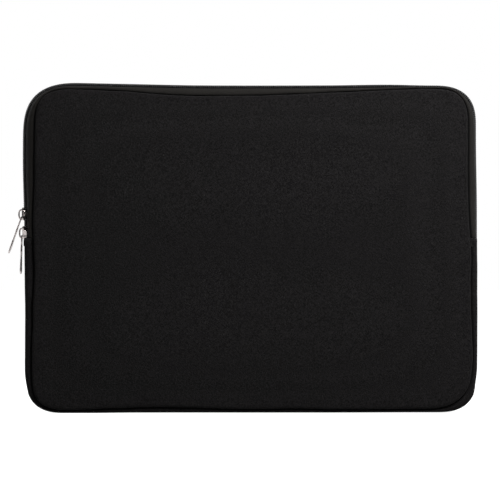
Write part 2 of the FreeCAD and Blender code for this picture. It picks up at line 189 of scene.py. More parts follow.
@dataclass(frozen=True)
class Outline:
    """A rounded rectangle in the XZ plane whose corners are quarter superellipses.

    Each corner is its radius and power, clockwise from the top left. Each side departs from its
    straight line by a smooth drift, outward, given at a few places along it. Every outline has
    the same number of points in each stretch, so that point i of one lies beside point i of
    another, and both have a point where the zip ends.
    """

    left: float
    right: float
    low: float
    high: float
    corners: tuple[tuple[float, float], ...]
    left_drift: Knots = STRAIGHT
    top_drift: Knots = STRAIGHT
    right_drift: Knots = STRAIGHT
    low_drift: Knots = STRAIGHT
    zip_end: float = 134.0
    upper_count: int = 30
    lower_count: int = 38
    corner_count: int = 26
    span_count: int = 110

    def settle(self, points: np.ndarray) -> np.ndarray:
        """Moves each side outward by its drift, fading away from that side."""
        x, z = points[:, 0], points[:, 1]
        near = 34.0
        across = (through(z, self.right_drift) * ease(self.right - x, near, 0.0)
                  - through(z, self.left_drift) * ease(x - self.left, near, 0.0))
        up = (through(x, self.top_drift) * ease(self.high - z, near, 0.0)
              - through(x, self.low_drift) * ease(z - self.low, near, 0.0))
        return points + np.stack([across, up], axis=1)

    def corner(self, number: int) -> np.ndarray:
        """Quarter superellipse |x|^p + |z|^p = r^p, clockwise.

        Args:
            number: 0 for the top left corner, then clockwise.

        Returns:
            Evenly spaced points, the stretch's first point left out.
        """
        radius, power = self.corners[number]
        angle = np.linspace(0.0, np.pi / 2, 200)
        across = np.cos(angle) ** (2.0 / power)
        up = np.sin(angle) ** (2.0 / power)
        local = np.stack([-across, up], axis=1)
        for _ in range(number):
            local = np.stack([local[:, 1], -local[:, 0]], axis=1)
        centre = (self.right - radius if number in (1, 2) else self.left + radius,
                  self.high - radius if number in (0, 1) else self.low + radius)
        return respace(np.array(centre) + radius * local, self.corner_count + 1)[1:]

    def line(self, start: tuple[float, float], end: tuple[float, float],
             count: int) -> np.ndarray:
        """Straight stretch, its first point left out."""
        return np.linspace(start, end, count + 1)[1:]

    def zip_route(self) -> np.ndarray:
        """Points from the left zip end up, over the top and down to the right zip end."""
        a, b = self.corners[0][0], self.corners[1][0]
        path = [
            np.array([[self.left, self.zip_end]]),
            self.line((self.left, self.zip_end), (self.left, self.high - a), self.upper_count),
            self.corner(0),
            self.line((self.left + a, self.high), (self.right - b, self.high), self.span_count),
            self.corner(1),
            self.line((self.right, self.high - b), (self.right, self.zip_end), self.upper_count),
        ]
        return self.settle(np.concatenate(path))

    def gusset_route(self) -> np.ndarray:
        """Points from the right zip end down, along the bottom and up to the left zip end."""
        c, d = self.corners[2][0], self.corners[3][0]
        path = [
            np.array([[self.right, self.zip_end]]),
            self.line((self.right, self.zip_end), (self.right, self.low + c), self.lower_count),
            self.corner(2),
            self.line((self.right - c, self.low), (self.left + d, self.low), self.span_count),
            self.corner(3),
            self.line((self.left, self.low + d), (self.left, self.zip_end), self.lower_count),
        ]
        return self.settle(np.concatenate(path))

    def closed_route(self) -> np.ndarray:
        """The whole outline, clockwise from the left zip end, without a repeated point."""
        return np.concatenate([self.zip_route()[:-1], self.gusset_route()[:-1]])


def grid_faces(rows: int, columns: int, wrap_rows: bool = False,
               wrap_columns: bool = False) -> np.ndarray:
    """Quads of a grid of points stored row by row.

    Args:
        rows: Number of rows.
        columns: Points in a row.
        wrap_rows: Whether the last row joins the first.
        wrap_columns: Whether the last column joins the first.

    Returns:
        An array of four point numbers for each quad.
    """
    row = np.arange(rows if wrap_rows else rows - 1)[:, None]
    column = np.arange(columns if wrap_columns else columns - 1)[None, :]
    below, beside = (row + 1) % rows, (column + 1) % columns
    corners = [row * columns + column, below * columns + column,
               below * columns + beside, row * columns + beside]
    return np.stack([np.broadcast_to(c, corners[0].shape) for c in corners], -1).reshape(-1, 4)


def sweep(path: np.ndarray, across: np.ndarray, up: np.ndarray,
          section: np.ndarray) -> np.ndarray:
    """Grid of a section carried along a path: path + across * section x + up * section y.

    Args:
        path: N points.
        across: N unit vectors, the section's x direction at each point.
        up: N unit vectors, its y direction.
        section: M points, or N by M points where the section changes along the path.

    Returns:
        N by M points.
    """
    section = np.broadcast_to(section, (len(path), *section.shape[-2:]))
    return (path[:, None] + across[:, None] * section[..., 0:1] + up[:, None] * section[..., 1:2])


def round_section(half_x: float, half_y: float, power: float, count: int) -> np.ndarray:
    """Superellipse |x/a|^p + |y/b|^p = 1 as evenly angled points."""
    angle = np.linspace(0.0, 2.0 * np.pi, count, endpoint=False)
    cosine, sine = np.cos(angle), np.sin(angle)
    reach = (np.abs(cosine) ** power + np.abs(sine) ** power) ** (-1.0 / power)
    return np.stack([half_x * cosine * reach, half_y * sine * reach], axis=1)


def rotate_y(points: np.ndarray, degrees: float) -> np.ndarray:
    """Points turned about the Y axis by the right-hand rule."""
    c, s = math.cos(math.radians(degrees)), math.sin(math.radians(degrees))
    x, y, z = points[..., 0], points[..., 1], points[..., 2]
    return np.stack([c * x + s * z, y, -s * x + c * z], axis=-1)


@dataclass
class MeshParts:
    """Points and faces gathered from several surfaces into one mesh, in millimetres."""

    points: list[np.ndarray] = field(default_factory=list)
    faces: list[list[int]] = field(default_factory=list)
    uvs: list[np.ndarray] = field(default_factory=list)
    count: int = 0

    def add(self, points: np.ndarray, faces: np.ndarray | list[list[int]],
            uv: np.ndarray | None = None) -> None:
        """Adds a surface.

        Args:
            points: Its points, in any shape that ends in 3.
            faces: Its faces, numbered from its own first point.
            uv: Two coordinates for each point, or none.
        """
        flat = np.asarray(points, float).reshape(-1, 3)
        shifted = (np.asarray(faces) + self.count).tolist() if isinstance(
            faces, np.ndarray) else [[i + self.count for i in face] for face in faces]
        self.points.append(flat)
        self.faces.extend(shifted)
        self.uvs.append(np.zeros((len(flat), 2)) if uv is None else uv.reshape(-1, 2))
        self.count += len(flat)

    def add_tube(self, grid: np.ndarray, closed: bool) -> None:
        """Adds a swept grid with its section closed, and its ends capped unless it is a loop."""
        rows, columns = grid.shape[:2]
        self.add(grid, grid_faces(rows, columns, closed, True))
        if not closed:
            first = self.count - rows * columns
            start = list(range(first, first + columns))
            end = list(range(first + (rows - 1) * columns, first + rows * columns))
            self.faces.extend([start, end[::-1]])

    def build(self, name: str, merge: float = 0.0) -> bpy.types.Object:
        """Makes the object, in metres, with outward normals and smooth shading.

        Args:
            name: The piece's name.
            merge: Distance in millimetres within which points are joined, or 0.

        Returns:
            The new object.
        """
        mesh = bpy.data.meshes.new(name)
        mesh.from_pydata((np.concatenate(self.points) * MM).tolist(), [], self.faces)
        loops = np.empty(len(mesh.loops), int)
        mesh.loops.foreach_get("vertex_index", loops)
        layer = mesh.uv_layers.new(name="surface")
        layer.data.foreach_set("uv", np.concatenate(self.uvs)[loops].ravel())
        shape = bmesh.new()
        shape.from_mesh(mesh)
        if merge:
            bmesh.ops.remove_doubles(shape, verts=shape.verts, dist=merge * MM)
        bmesh.ops.recalc_face_normals(shape, faces=shape.faces)
        shape.to_mesh(mesh)
        shape.free()
        mesh.polygons.foreach_set("use_smooth", np.ones(len(mesh.polygons), bool))
        piece = bpy.data.objects.new(name, mesh)
        bpy.context.scene.collection.objects.link(piece)
        return piece


def face_outward(piece: bpy.types.Object) -> None:
    """Flips an open band whose faces look towards the middle of the sleeve."""
    mesh = piece.data
    middle = np.array([0.0, 0.0, 0.127])
    centres = np.array([polygon.center for polygon in mesh.polygons])
    normals = np.array([polygon.normal for polygon in mesh.polygons])
    if np.sum((centres - middle) * normals) < 0:
        mesh.flip_normals()


def thicken(piece: bpy.types.Object, thickness: float, offset: float) -> None:
    """Adds a wall to an open surface, in millimetres; offset -1 is inward and 1 outward."""
    solidify = piece.modifiers.new("wall", "SOLIDIFY")
    solidify.thickness = thickness * MM
    solidify.offset = offset


def soften_edges(piece: bpy.types.Object, width: float, segments: int = 2) -> None:
    """Bevels the sharp edges of a cast piece, in millimetres."""
    bevel = piece.modifiers.new("edges", "BEVEL")
    bevel.width = width * MM
    bevel.segments = segments
    bevel.limit_method = "ANGLE"
    bevel.angle_limit = math.radians(38.0)


# ---------------------------------------------------------------------------------------------
# Shading
# ---------------------------------------------------------------------------------------------


class Amount:
    """A number that varies over a surface: a shader socket with Python arithmetic."""

    def __init__(self, paint: "Paint", socket: bpy.types.NodeSocket) -> None:
        """Wraps one output socket of a material's tree."""
        self.paint = paint
        self.socket = socket

    def _math(self, operation: str, left: object, right: object) -> "Amount":
        """One Math node; a plain number becomes its socket's value."""
        return self.paint.amount("ShaderNodeMath", {"operation": operation},
                                 {0: left, 1: right}, "Value")

    def __add__(self, other: object) -> "Amount":
        """Sum."""
        return self._math("ADD", self, other)

    def __sub__(self, other: object) -> "Amount":
        """Difference."""
        return self._math("SUBTRACT", self, other)

    def __mul__(self, other: object) -> "Amount":
        """Product."""
        return self._math("MULTIPLY", self, other)

    def __rsub__(self, other: object) -> "Amount":
        """Difference from a plain number."""
        return self._math("SUBTRACT", other, self)

    __radd__ = __add__
    __rmul__ = __mul__

    def sine(self) -> "Amount":
        """Its sine, in radians."""
        return self.paint.amount("ShaderNodeMath", {"operation": "SINE"}, {0: self}, "Value")

    def step(self, low: float, high: float) -> "Amount":
        """Smooth step from 0 at low to 1 at high."""
        settings = {"interpolation_type": "SMOOTHSTEP"}
        inputs = {"Value": self, "From Min": low, "From Max": high, "To Min": 0.0, "To Max": 1.0}
        return self.paint.amount("ShaderNodeMapRange", settings, inputs, "Result")


def add_node(tree: bpy.types.NodeTree, kind: str, settings: dict, inputs: dict) -> bpy.types.Node:
    """Adds a node to a tree.

    Args:
        tree: The tree of a material or of the backdrop.
        kind: The node's type.
        settings: Its properties, set before its sockets.
        inputs: Values or links by socket name or number.

    Returns:
        The new node.
    """
    made = tree.nodes.new(kind)
    for key, value in settings.items():
        setattr(made, key, value)
    for key, value in inputs.items():
        source = value.socket if isinstance(value, Amount) else value
        if isinstance(source, bpy.types.NodeSocket):
            tree.links.new(source, made.inputs[key])
        else:
            made.inputs[key].default_value = source
    return made


Colour = tuple[float, float, float]


class Paint:
    """Builds one node material round a Principled shader."""

    def __init__(self, name: str) -> None:
        """Starts an empty material of this name."""
        self.material = bpy.data.materials.new(name)
        self.material.use_nodes = True
        self.tree = self.material.node_tree
        self.tree.nodes.clear()
        self.shader = self.tree.nodes.new("ShaderNodeBsdfPrincipled")
        output = self.tree.nodes.new("ShaderNodeOutputMaterial")
        self.tree.links.new(self.shader.outputs["BSDF"], output.inputs["Surface"])

    def node(self, kind: str, settings: dict, inputs: dict) -> bpy.types.Node:
        """Adds a node to the material."""
        return add_node(self.tree, kind, settings, inputs)

    def amount(self, kind: str, settings: dict, inputs: dict, output: str) -> Amount:
        """Adds a node and wraps one of its outputs as a number."""
        return Amount(self, self.node(kind, settings, inputs).outputs[output])

    def place(self, scale: Colour = (1.0, 1.0, 1.0), turn: float = 0.0) -> bpy.types.NodeSocket:
        """Object coordinates in millimetres, scaled and turned about Y."""
        source = self.node("ShaderNodeTexCoord", {}, {}).outputs["Object"]
        size = tuple(1000.0 * s for s in scale)
        return self.node("ShaderNodeMapping", {}, {"Vector": source, "Scale": size,
                                                   "Rotation": (0.0, turn, 0.0)}).outputs[0]

    def along(self) -> tuple[Amount, Amount]:
        """The surface's own coordinates in millimetres: along it and across it."""
        source = self.node("ShaderNodeUVMap", {"uv_map": "surface"}, {}).outputs["UV"]
        split = self.node("ShaderNodeSeparateXYZ", {}, {"Vector": source})
        return Amount(self, split.outputs["X"]), Amount(self, split.outputs["Y"])

    def noise(self, where: bpy.types.NodeSocket, size: float, detail: float = 2.0,
              roughness: float = 0.5) -> Amount:
        """Noise whose features are about this many millimetres across, centred on 0.5."""
        inputs = {"Vector": where, "Scale": 1.0 / size, "Detail": detail, "Roughness": roughness}
        return self.amount("ShaderNodeTexNoise", {}, inputs, "Fac")

    def cells(self, where: bpy.types.NodeSocket, size: float, jitter: float = 0.6) -> Amount:
        """Distance to the nearest cell centre: small round bumps this far apart."""
        inputs = {"Vector": where, "Scale": 1.0 / size, "Randomness": jitter}
        return self.amount("ShaderNodeTexVoronoi", {}, inputs, "Distance")

    def mix(self, factor: Amount, first: object, second: object) -> bpy.types.NodeSocket:
        """A colour between two, by a factor."""
        made = self.node("ShaderNodeMix", {"data_type": "RGBA"}, {})
        self.tree.links.new(factor.socket, made.inputs["Factor"])
        for name, value in (("A", first), ("B", second)):
            socket = next(s for s in made.inputs if s.name == name and s.type == "RGBA")
            if isinstance(value, bpy.types.NodeSocket):
                self.tree.links.new(value, socket)
            else:
                socket.default_value = (*value, 1.0)
        return next(s for s in made.outputs if s.type == "RGBA")

    def bump(self, height: Amount, depth: float, strength: float) -> bpy.types.NodeSocket:
        """A normal from a height; depth is the relief in millimetres for a height of 1."""
        inputs = {"Height": height, "Distance": depth * MM, "Strength": strength}
        return self.node("ShaderNodeBump", {}, inputs).outputs["Normal"]

    def constant(self, **values: float | tuple) -> None:
        """Sets shader sockets that are the same all over, named with underscores."""
        for name, value in values.items():
            wanted = name.replace("_", " ").lower()
            socket = next(s for s in self.shader.inputs if s.name.lower() == wanted)
            socket.default_value = value

    def vary(self, socket: str, source: object) -> None:
        """Links a socket of the shader to a value or colour that changes over the surface."""
        link = source.socket if isinstance(source, Amount) else source
        self.tree.links.new(link, self.shader.inputs[socket])


@dataclass(frozen=True)
class KnitFinish:
    """Matte fine-knit jersey laminated over foam, with tiny paler fibres."""

    dark: Colour = (0.0017, 0.0015, 0.0016)
    pale: Colour = (0.0106, 0.0098, 0.0101)
    fibre: Colour = (0.036, 0.034, 0.034)
    # Painted shade: the colour near the seam, standing in for the shadow in the groove.
    seam: Colour = (0.0016, 0.0014, 0.0014)
    seam_shade_low: float = 2.0
    seam_shade_high: float = 3.7
    stitch: float = 0.95
    relief: float = 0.22

    def paint(self, name: str) -> bpy.types.Material:
        """Mottled dark cloth with a knit of small bumps and scattered fibres.

        Its second surface coordinate is the distance up out of the seam, where it is darkest: a
        painted shade for the shadow in the seam groove.
        """
        p = Paint(name)
        where = p.place()
        knit = p.cells(p.place((1.0, 1.0, 1.35)), self.stitch)
        mottle = p.noise(where, 7.0, 3.0, 0.6)
        grain = p.noise(where, 0.95, 2.0, 0.55)
        fibres = p.noise(p.place((1.0, 1.0, 0.35), 0.6), 0.5, 1.0).step(0.66, 0.78)
        tone = (mottle * 0.12 + grain * 1.7 - knit * 0.5).step(0.25, 1.12)
        cloth = p.mix(fibres * 0.55, p.mix(tone, self.dark, self.pale), self.fibre)
        # Painted shade: the cloth fades to the seam colour where the seam groove lies in shadow.
        clear = p.along()[1].step(self.seam_shade_low, self.seam_shade_high)
        p.vary("Base Color", p.mix(clear, self.seam, cloth))
        p.vary("Roughness", 0.98 - grain * 0.12)
        height = grain * 0.6 - knit
        p.vary("Normal", p.bump(height, self.relief, 0.55))
        p.constant(specular_ior_level=0.07, sheen_weight=0.012, sheen_roughness=0.6)
        return p.material


@dataclass(frozen=True)
class WovenFinish:
    """Plain-woven narrow tape, its yarns running along and across it."""

    yarn: Colour = (0.0102, 0.0091, 0.0078)
    gap: Colour = (0.0034, 0.0031, 0.0028)
    # Painted shade: the colour at the seam groove and beside the coil.
    seam: Colour = (0.0016, 0.0014, 0.0014)
    seam_shade_low: float = -0.2
    seam_shade_high: float = 0.9
    coil_shade_low: float = 6.9
    coil_shade_high: float = 8.0
    along_pitch: float = 0.85
    across_pitch: float = 0.6
    relief: float = 0.12

    def paint(self, name: str) -> bpy.types.Material:
        """A checker of raised yarns from two crossed waves, with painted shade darkest at the seam
        and beside the coil.
        """
        p = Paint(name)
        along, across = p.along()
        warp = (across * (2 * math.pi / self.across_pitch)).sine()
        weft = (along * (2 * math.pi / self.along_pitch)).sine()
        weave = warp * weft * 0.5 + 0.5
        fuzz = p.noise(p.place(), 1.4, 3.0, 0.6)
        tone = (weave * 0.75 + fuzz * 0.5).step(0.15, 1.05)
        # Painted shade: the tape fades to the seam colour at the seam groove and beside the coil,
        # where the coil shades it.
        clear = across.step(self.seam_shade_low, self.seam_shade_high)
        clear = clear * (1.0 - across.step(self.coil_shade_low, self.coil_shade_high))
        p.vary("Base Color", p.mix(clear, self.seam, p.mix(tone, self.gap, self.yarn)))
        p.vary("Roughness", 0.9 - fuzz * 0.15)
        p.vary("Normal", p.bump(weave + fuzz * 0.4, self.relief, 0.7))
        p.constant(specular_ior_level=0.12, sheen_weight=0.02, sheen_roughness=0.5)
        return p.material


@dataclass(frozen=True)
class PileFinish:
    """Short brushed pile of the lining."""

    dark: Colour = (0.011, 0.011, 0.012)
    pale: Colour = (0.030, 0.030, 0.032)
    relief: float = 0.35

    def paint(self, name: str) -> bpy.types.Material:
        """Brushed tufts with slow streaks where the pile lies differently."""
        p = Paint(name)
        tufts = p.noise(p.place((1.0, 1.0, 0.6)), 0.9, 3.0, 0.7)
        nap = p.noise(p.place((1.0, 1.0, 0.4)), 26.0, 2.0, 0.5)
        p.vary("Base Color", p.mix((tufts * 0.6 + nap * 0.7).step(0.35, 1.0),
                                   self.dark, self.pale))
        p.vary("Roughness", 1.0 - tufts * 0.1)
        p.vary("Normal", p.bump(tufts, self.relief, 0.6))
        p.constant(specular_ior_level=0.1, sheen_weight=0.25, sheen_roughness=0.45)
        return p.material


@dataclass(frozen=True)
class NylonFinish:
    """Smooth dyed nylon filament."""

    colour: Colour = (0.0055, 0.0053, 0.0055)
    worn: Colour = (0.0125, 0.0120, 0.0125)

    def paint(self, name: str) -> bpy.types.Material:
        """Satin filament with slightly paler rubbed patches."""
        p = Paint(name)
        rub = p.noise(p.place(), 3.0, 3.0, 0.6)
        p.vary("Base Color", p.mix(rub.step(0.45, 0.75), self.colour, self.worn))
        p.vary("Roughness", 0.34 + rub * 0.2)
        p.constant(specular_ior_level=0.5)
        return p.material


@dataclass(frozen=True)
class PlatedFinish:
    """Bright nickel plating on a zinc casting."""

    bright: Colour = (0.47, 0.43, 0.42)
    dull: Colour = (0.24, 0.215, 0.205)

    def paint(self, name: str) -> bpy.types.Material:
        """Plating with fine orange peel and duller rubbed patches."""
        p = Paint(name)
        where = p.place()
        wear = p.noise(where, 2.2, 4.0, 0.6)
        peel = p.noise(where, 0.7, 2.0, 0.5)
        p.vary("Base Color", p.mix(wear.step(0.4, 0.75), self.bright, self.dull))
        p.vary("Roughness", 0.10 + wear * 0.16)
        p.vary("Normal", p.bump(peel, 0.05, 0.35))
        p.constant(metallic=1.0)
        return p.material


@dataclass(frozen=True)
class ThreadFinish:
    """Twisted sewing thread."""

    colour: Colour = (0.022, 0.021, 0.022)
    groove: Colour = (0.008, 0.008, 0.008)
    slant: float = 0.7

    def paint(self, name: str) -> bpy.types.Material:
        """Twist lines slanting across the thread."""
        p = Paint(name)
        twist = p.noise(p.place(turn=self.slant), 0.25, 1.0)
        p.vary("Base Color", p.mix(twist.step(0.3, 0.7), self.groove, self.colour))
        p.vary("Normal", p.bump(twist, 0.06, 0.6))
        p.constant(roughness=0.6, specular_ior_level=0.3)
        return p.material


class Finishes:
    """The sleeve's materials, each made once."""

    # Edges of the painted seam shade set to lie off the piece, so these pieces have none.
    no_seam_shade = {"seam_shade_low": -30.0, "seam_shade_high": -29.0}

    def __init__(self) -> None:
        """Makes every material."""
        self.knit = KnitFinish().paint("cover_knit")
        self.gusset_knit = KnitFinish(dark=(0.0018, 0.0016, 0.0017),
                                      pale=(0.0095, 0.0087, 0.0090), seam_shade_low=1.2,
                                      seam_shade_high=2.5).paint("gusset_knit")
        self.tape = WovenFinish().paint("zip_tape_weave")
        self.binding = WovenFinish(yarn=(0.010, 0.0090, 0.0086), gap=(0.0035, 0.0033, 0.0032),
                                   across_pitch=0.9, **self.no_seam_shade).paint("binding_weave")
        self.pile = PileFinish().paint("lining_pile")
        self.nylon = NylonFinish().paint("zip_coil_nylon")
        self.plated = PlatedFinish().paint("slider_plating")
        self.thread = ThreadFinish().paint("sewing_thread")


def dress(piece: bpy.types.Object, material: bpy.types.Material) -> None:
    """Gives a piece its material."""
    piece.data.materials.clear()
    piece.data.materials.append(material)


def attach(piece: bpy.types.Object, side: Side) -> None:
    """Fixes a rear piece to the sleeve; a front piece keeps its place, its transform baked into its
    mesh.
    """
    if side is Side.FRONT:
        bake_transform(piece)
    else:
        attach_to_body(piece, SLEEVE)


def cad_nodes(side: Side, stem: str, lower: str = "_lower") -> tuple[str, ...]:
    """The CAD nodes that one real layer is cut into."""
    if side is Side.FRONT:
        return (f"front_{stem}{lower}", f"front_{stem}_flap")
    return (f"rear_{stem}",)


RIM = Outline(
    left=-174.6, right=174.75, low=0.0, high=255.1,
    corners=((43.5, 2.8), (35.0, 2.8), (31.5, 2.7), (31.5, 2.7)),
    left_drift=((12.0, -0.3), (20.0, -0.8), (34.0, 0.1), (70.0, -0.2), (110.0, 0.25),
                (150.0, 0.7), (190.0, 1.65), (225.0, 1.5)),
    top_drift=((-150.0, 0.0), (-95.0, -0.95), (-40.0, -2.0), (60.0, -2.0), (105.0, -1.5),
               (140.0, -2.1)),
    right_drift=((12.0, -0.2), (22.0, -1.1), (36.0, 0.0), (130.0, 0.0), (165.0, -0.1),
                 (215.0, -0.75)),
    low_drift=((-125.0, 0.0), (-90.0, -0.3), (60.0, -0.35), (130.0, -0.55)))
FRONT_SEAM = Outline(
    left=-168.6, right=168.6, low=2.9, high=249.4,
    corners=((30.0, 2.9), (28.0, 2.8), (34.0, 2.5), (27.0, 2.8)),
    left_drift=((20.0, 0.4), (43.0, 0.7), (65.0, 0.1), (87.0, -0.5), (108.0, -1.3),
                (130.0, -0.8), (152.0, -0.5), (173.0, -1.2), (217.0, -1.85)),
    top_drift=((-141.0, 0.2), (-101.0, -1.1), (-55.0, -4.4), (0.0, -4.5), (38.0, -3.3),
               (85.0, -1.2), (115.0, 0.0), (135.0, 0.7)),
    right_drift=((22.0, 1.8), (43.0, 2.6), (65.0, 2.0), (87.0, 1.3), (108.0, 1.15),
                 (119.0, 1.6), (130.0, 1.1), (152.0, -0.4), (173.0, -1.2), (216.0, -1.2)),
    low_drift=((-140.0, 0.7), (-108.0, -0.6), (-60.0, -1.6), (-30.0, -0.6), (0.0, 0.1),
               (30.0, -0.5), (60.0, 0.1), (108.0, 0.1), (135.0, -0.4)))
REAR_SEAM = Outline(
    left=-169.0, right=169.0, low=2.7, high=249.6,
    corners=((31.0, 2.8), (30.0, 2.8), (30.0, 2.7), (29.0, 2.7)),
    left_drift=((40.0, 0.4), (95.0, -0.4), (150.0, -0.3), (215.0, -0.9)),
    top_drift=((-120.0, 0.0), (-30.0, -1.8), (60.0, -1.5), (130.0, 0.1)),
    right_drift=((40.0, 0.9), (110.0, 0.6), (160.0, -0.4), (215.0, -0.9)),
    low_drift=((-120.0, 0.3), (-40.0, -0.5), (50.0, 0.2), (120.0, -0.3)))


def seam_of(side: Side) -> Outline:
    """The seam line of one panel."""
    return FRONT_SEAM if side is Side.FRONT else REAR_SEAM


# ---------------------------------------------------------------------------------------------
# Padded panels, lining and binding
# ---------------------------------------------------------------------------------------------


@dataclass
class Panel:
    """One padded side of the sleeve: cover, foam, lining and the binding over its seam."""

    side: Side
    finishes: Finishes
    crown: float = 0.75
    top_closeness: float = 0.42
    back_depth: float = 7.1
    lining_depth: float = 6.72
    core_half_width: float = 74.0
    core_height: float = 126.0
    swell_low: float = -0.2
    swell_cap: float = 1.3
    swell_frames: int = 15
    swell_pressure: float = 0.35
    binding_inset: float = 5.0
    binding_half_width: float = 3.2
    binding_depth: float = 6.38
    binding_dome: float = 0.22
    stitch_pitch: float = 3.0
    stitch_length: float = 2.3
    stitch_depth: float = 6.22
    wall: tuple[tuple[float, ...], ...] = (
        (0.0, 2.4, 7.05), (1.0, 1.3, 7.06), (1.5, 0.86, 7.25), (2.3, 0.66, 8.1),
        (3.1, 0.62, 9.0), (4.0, 0.82, 9.9), (4.8, 1.45, 10.5), (5.9, 2.5, 10.78),
        (7.4, 4.0, 10.9), (9.0, 5.6, 10.95))
    wall_count: int = 26
    face_rings: int = 40
    back_rings: int = 36

    @property
    def word(self) -> str:
        """The panel's name."""
        return self.side.name.lower()

    def core(self, outline: np.ndarray) -> np.ndarray:
        """The nearest point of the middle line, which the rings of the face shrink to."""
        reach = np.clip(outline[:, 0], -self.core_half_width, self.core_half_width)
        return np.stack([reach, np.full(len(outline), self.core_height)], axis=1)

    def swollen(self, rings: np.ndarray) -> np.ndarray:
        """Lets the cover swell over its foam with a cloth simulation of every third point.

        The seam's rings are pinned, the foam pushes outward as a pressure, and the distance each
        ring moves along Y is capped, then spread back over all points. Towards the middle line it
        evens out, so that the rings meet there at one height.

        Args:
            rings: Points of the face, ring by ring, in millimetres.

        Returns:
            Distance outward for each point, in millimetres.
        """
        ring_step, point_step = 2, 3
        coarse = rings[::ring_step, ::point_step]
        rows, columns = coarse.shape[:2]
        parts = MeshParts()
        parts.add(coarse, grid_faces(rows, columns, False, True))
        sheet = parts.build(f"{self.word}_swell")
        pinned = sheet.vertex_groups.new(name="seam")
        pinned.add(list(range(columns * 2)), 1.0, "REPLACE")
        cloth = sheet.modifiers.new("cloth", "CLOTH")
        cloth.settings.vertex_group_mass = "seam"
        cloth.settings.effector_weights.gravity = 0.0
        cloth.settings.use_pressure = True
        cloth.settings.uniform_pressure_force = self.swell_pressure
        cloth.settings.quality = 5
        cloth.settings.mass = 0.25
        cloth.settings.tension_stiffness = 12.0
        cloth.settings.compression_stiffness = 12.0
        cloth.settings.bending_stiffness = 4.0
        scene = bpy.context.scene
        for number in range(1, self.swell_frames + 1):
            scene.frame_set(number)
        after = sheet.evaluated_get(bpy.context.evaluated_depsgraph_get()).to_mesh()
        moved = np.empty(len(after.vertices) * 3)
        after.vertices.foreach_get("co", moved)
        lift = moved.reshape(rows, columns, 3)[..., 1] / MM - coarse[..., 1]
        scene.frame_set(1)
        bpy.data.objects.remove(sheet)
        lift = np.clip(lift * self.side.value, self.swell_low, self.swell_cap)
        LOG.info("%s cover swells %.2f mm on average", self.word, float(lift.mean()))
        ring_at = np.linspace(0, rows - 1, rings.shape[0])
        wide = np.stack([np.interp(ring_at, np.arange(rows), column) for column in lift.T], 1)
        closed = np.concatenate([wide, wide[:, :1]], axis=1)
        point_at = np.arange(rings.shape[1]) / point_step
        fine = np.stack([np.interp(point_at, np.arange(columns + 1), row) for row in closed])
        calm = ease(np.linspace(0.0, 1.0, len(fine)), 0.6, 1.0)[:, None]
        return fine + (fine[-1].mean() - fine) * calm

    def cover(self) -> bpy.types.Object:
        """The cover over its foam: a wall profile carried round the seam, then rings inward.

        The wall rises out of the seam, rolls over the edge of the foam and runs into a face that
        crowns by 1 - (1 - t)^2 towards the middle line. The hidden back is flat.

        Returns:
            The padded piece.
        """
        seam = seam_of(self.side).closed_route()
        normal = outward(seam, closed=True)
        s, length = distance_round(seam)
        seed = 11 if self.side is Side.FRONT else 29
        slow = wander(s, length, seed, (61.0, 37.0, 23.0))
        pucker = wander(s, length, seed + 1, (7.1, 5.3, 4.4))
        along = np.linspace(0.0, self.wall[-1][0], self.wall_count)
        profile = through(along, self.wall)
        soft = ease(profile[:, 1], 7.1, 9.5)[:, None]
        close = self.top_closeness * ease(seam[:, 1], 226.0, 244.0)
        inset = profile[:, 0][:, None] - (0.13 * slow + 0.06 * pucker) * soft - close
        edge_xz = seam[None] - normal[None] * inset[..., None]
        edge_y = profile[:, 1][:, None] + (0.10 * slow + 0.06 * pucker) * soft
        rim_ring = edge_xz[-1]
        core = self.core(rim_ring)
        t = np.linspace(0.0, 1.0, self.face_rings + 1)[1:, None, None]
        t = t ** 1.15
        face_xz = rim_ring[None] + (core - rim_ring)[None] * t
        waves = (edge_y[-1] - profile[-1, 1]) * ease(t[..., 0], 0.22, 0.0)
        face_y = profile[-1, 1] + waves + self.crown * (1.0 - (1.0 - t[..., 0]) ** 2)
        xz = np.concatenate([edge_xz, face_xz])
        y = np.concatenate([edge_y, np.broadcast_to(face_y, face_xz.shape[:2])])
        rings = at_depth(xz, self.side.value * y)
        swell = self.swollen(rings[len(profile) - 4:])
        rings[len(profile) - 4:, :, 1] += self.side.value * swell
        start = rings[0][:, (0, 2)]
        back_t = np.linspace(0.0, 1.0, self.back_rings + 1)[1:, None, None]
        back_xz = start[None] + (self.core(start) - start)[None] * back_t
        back = at_depth(back_xz, self.side.value * self.back_depth)
        whole = np.concatenate([back[::-1], rings])
        up = np.concatenate([np.zeros(self.back_rings), along,
                             along[-1] + 3.0 * np.arange(1, self.face_rings + 1)])
        # The second coordinate places the knit's painted seam shade: wider on the right side,
        # narrower at the top and at the bottom.
        right, low = ease(seam[:, 0], 150.0, 166.0), ease(seam[:, 1], 12.0, 5.0)
        top = ease(seam[:, 1], 236.0, 246.0) * (1.0 - right)
        uv = surface_pair(s[None], up[:, None] + 0.8 * top - 0.95 * right + low)
        parts = MeshParts()
        parts.add(whole, grid_faces(whole.shape[0], whole.shape[1], False, True), uv)
        piece = parts.build(f"{self.word}_panel", merge=0.02)
        dress(piece, self.finishes.knit)
        attach(piece, self.side)
        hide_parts(*cad_nodes(self.side, "cover"), *cad_nodes(self.side, "foam"))
        return piece

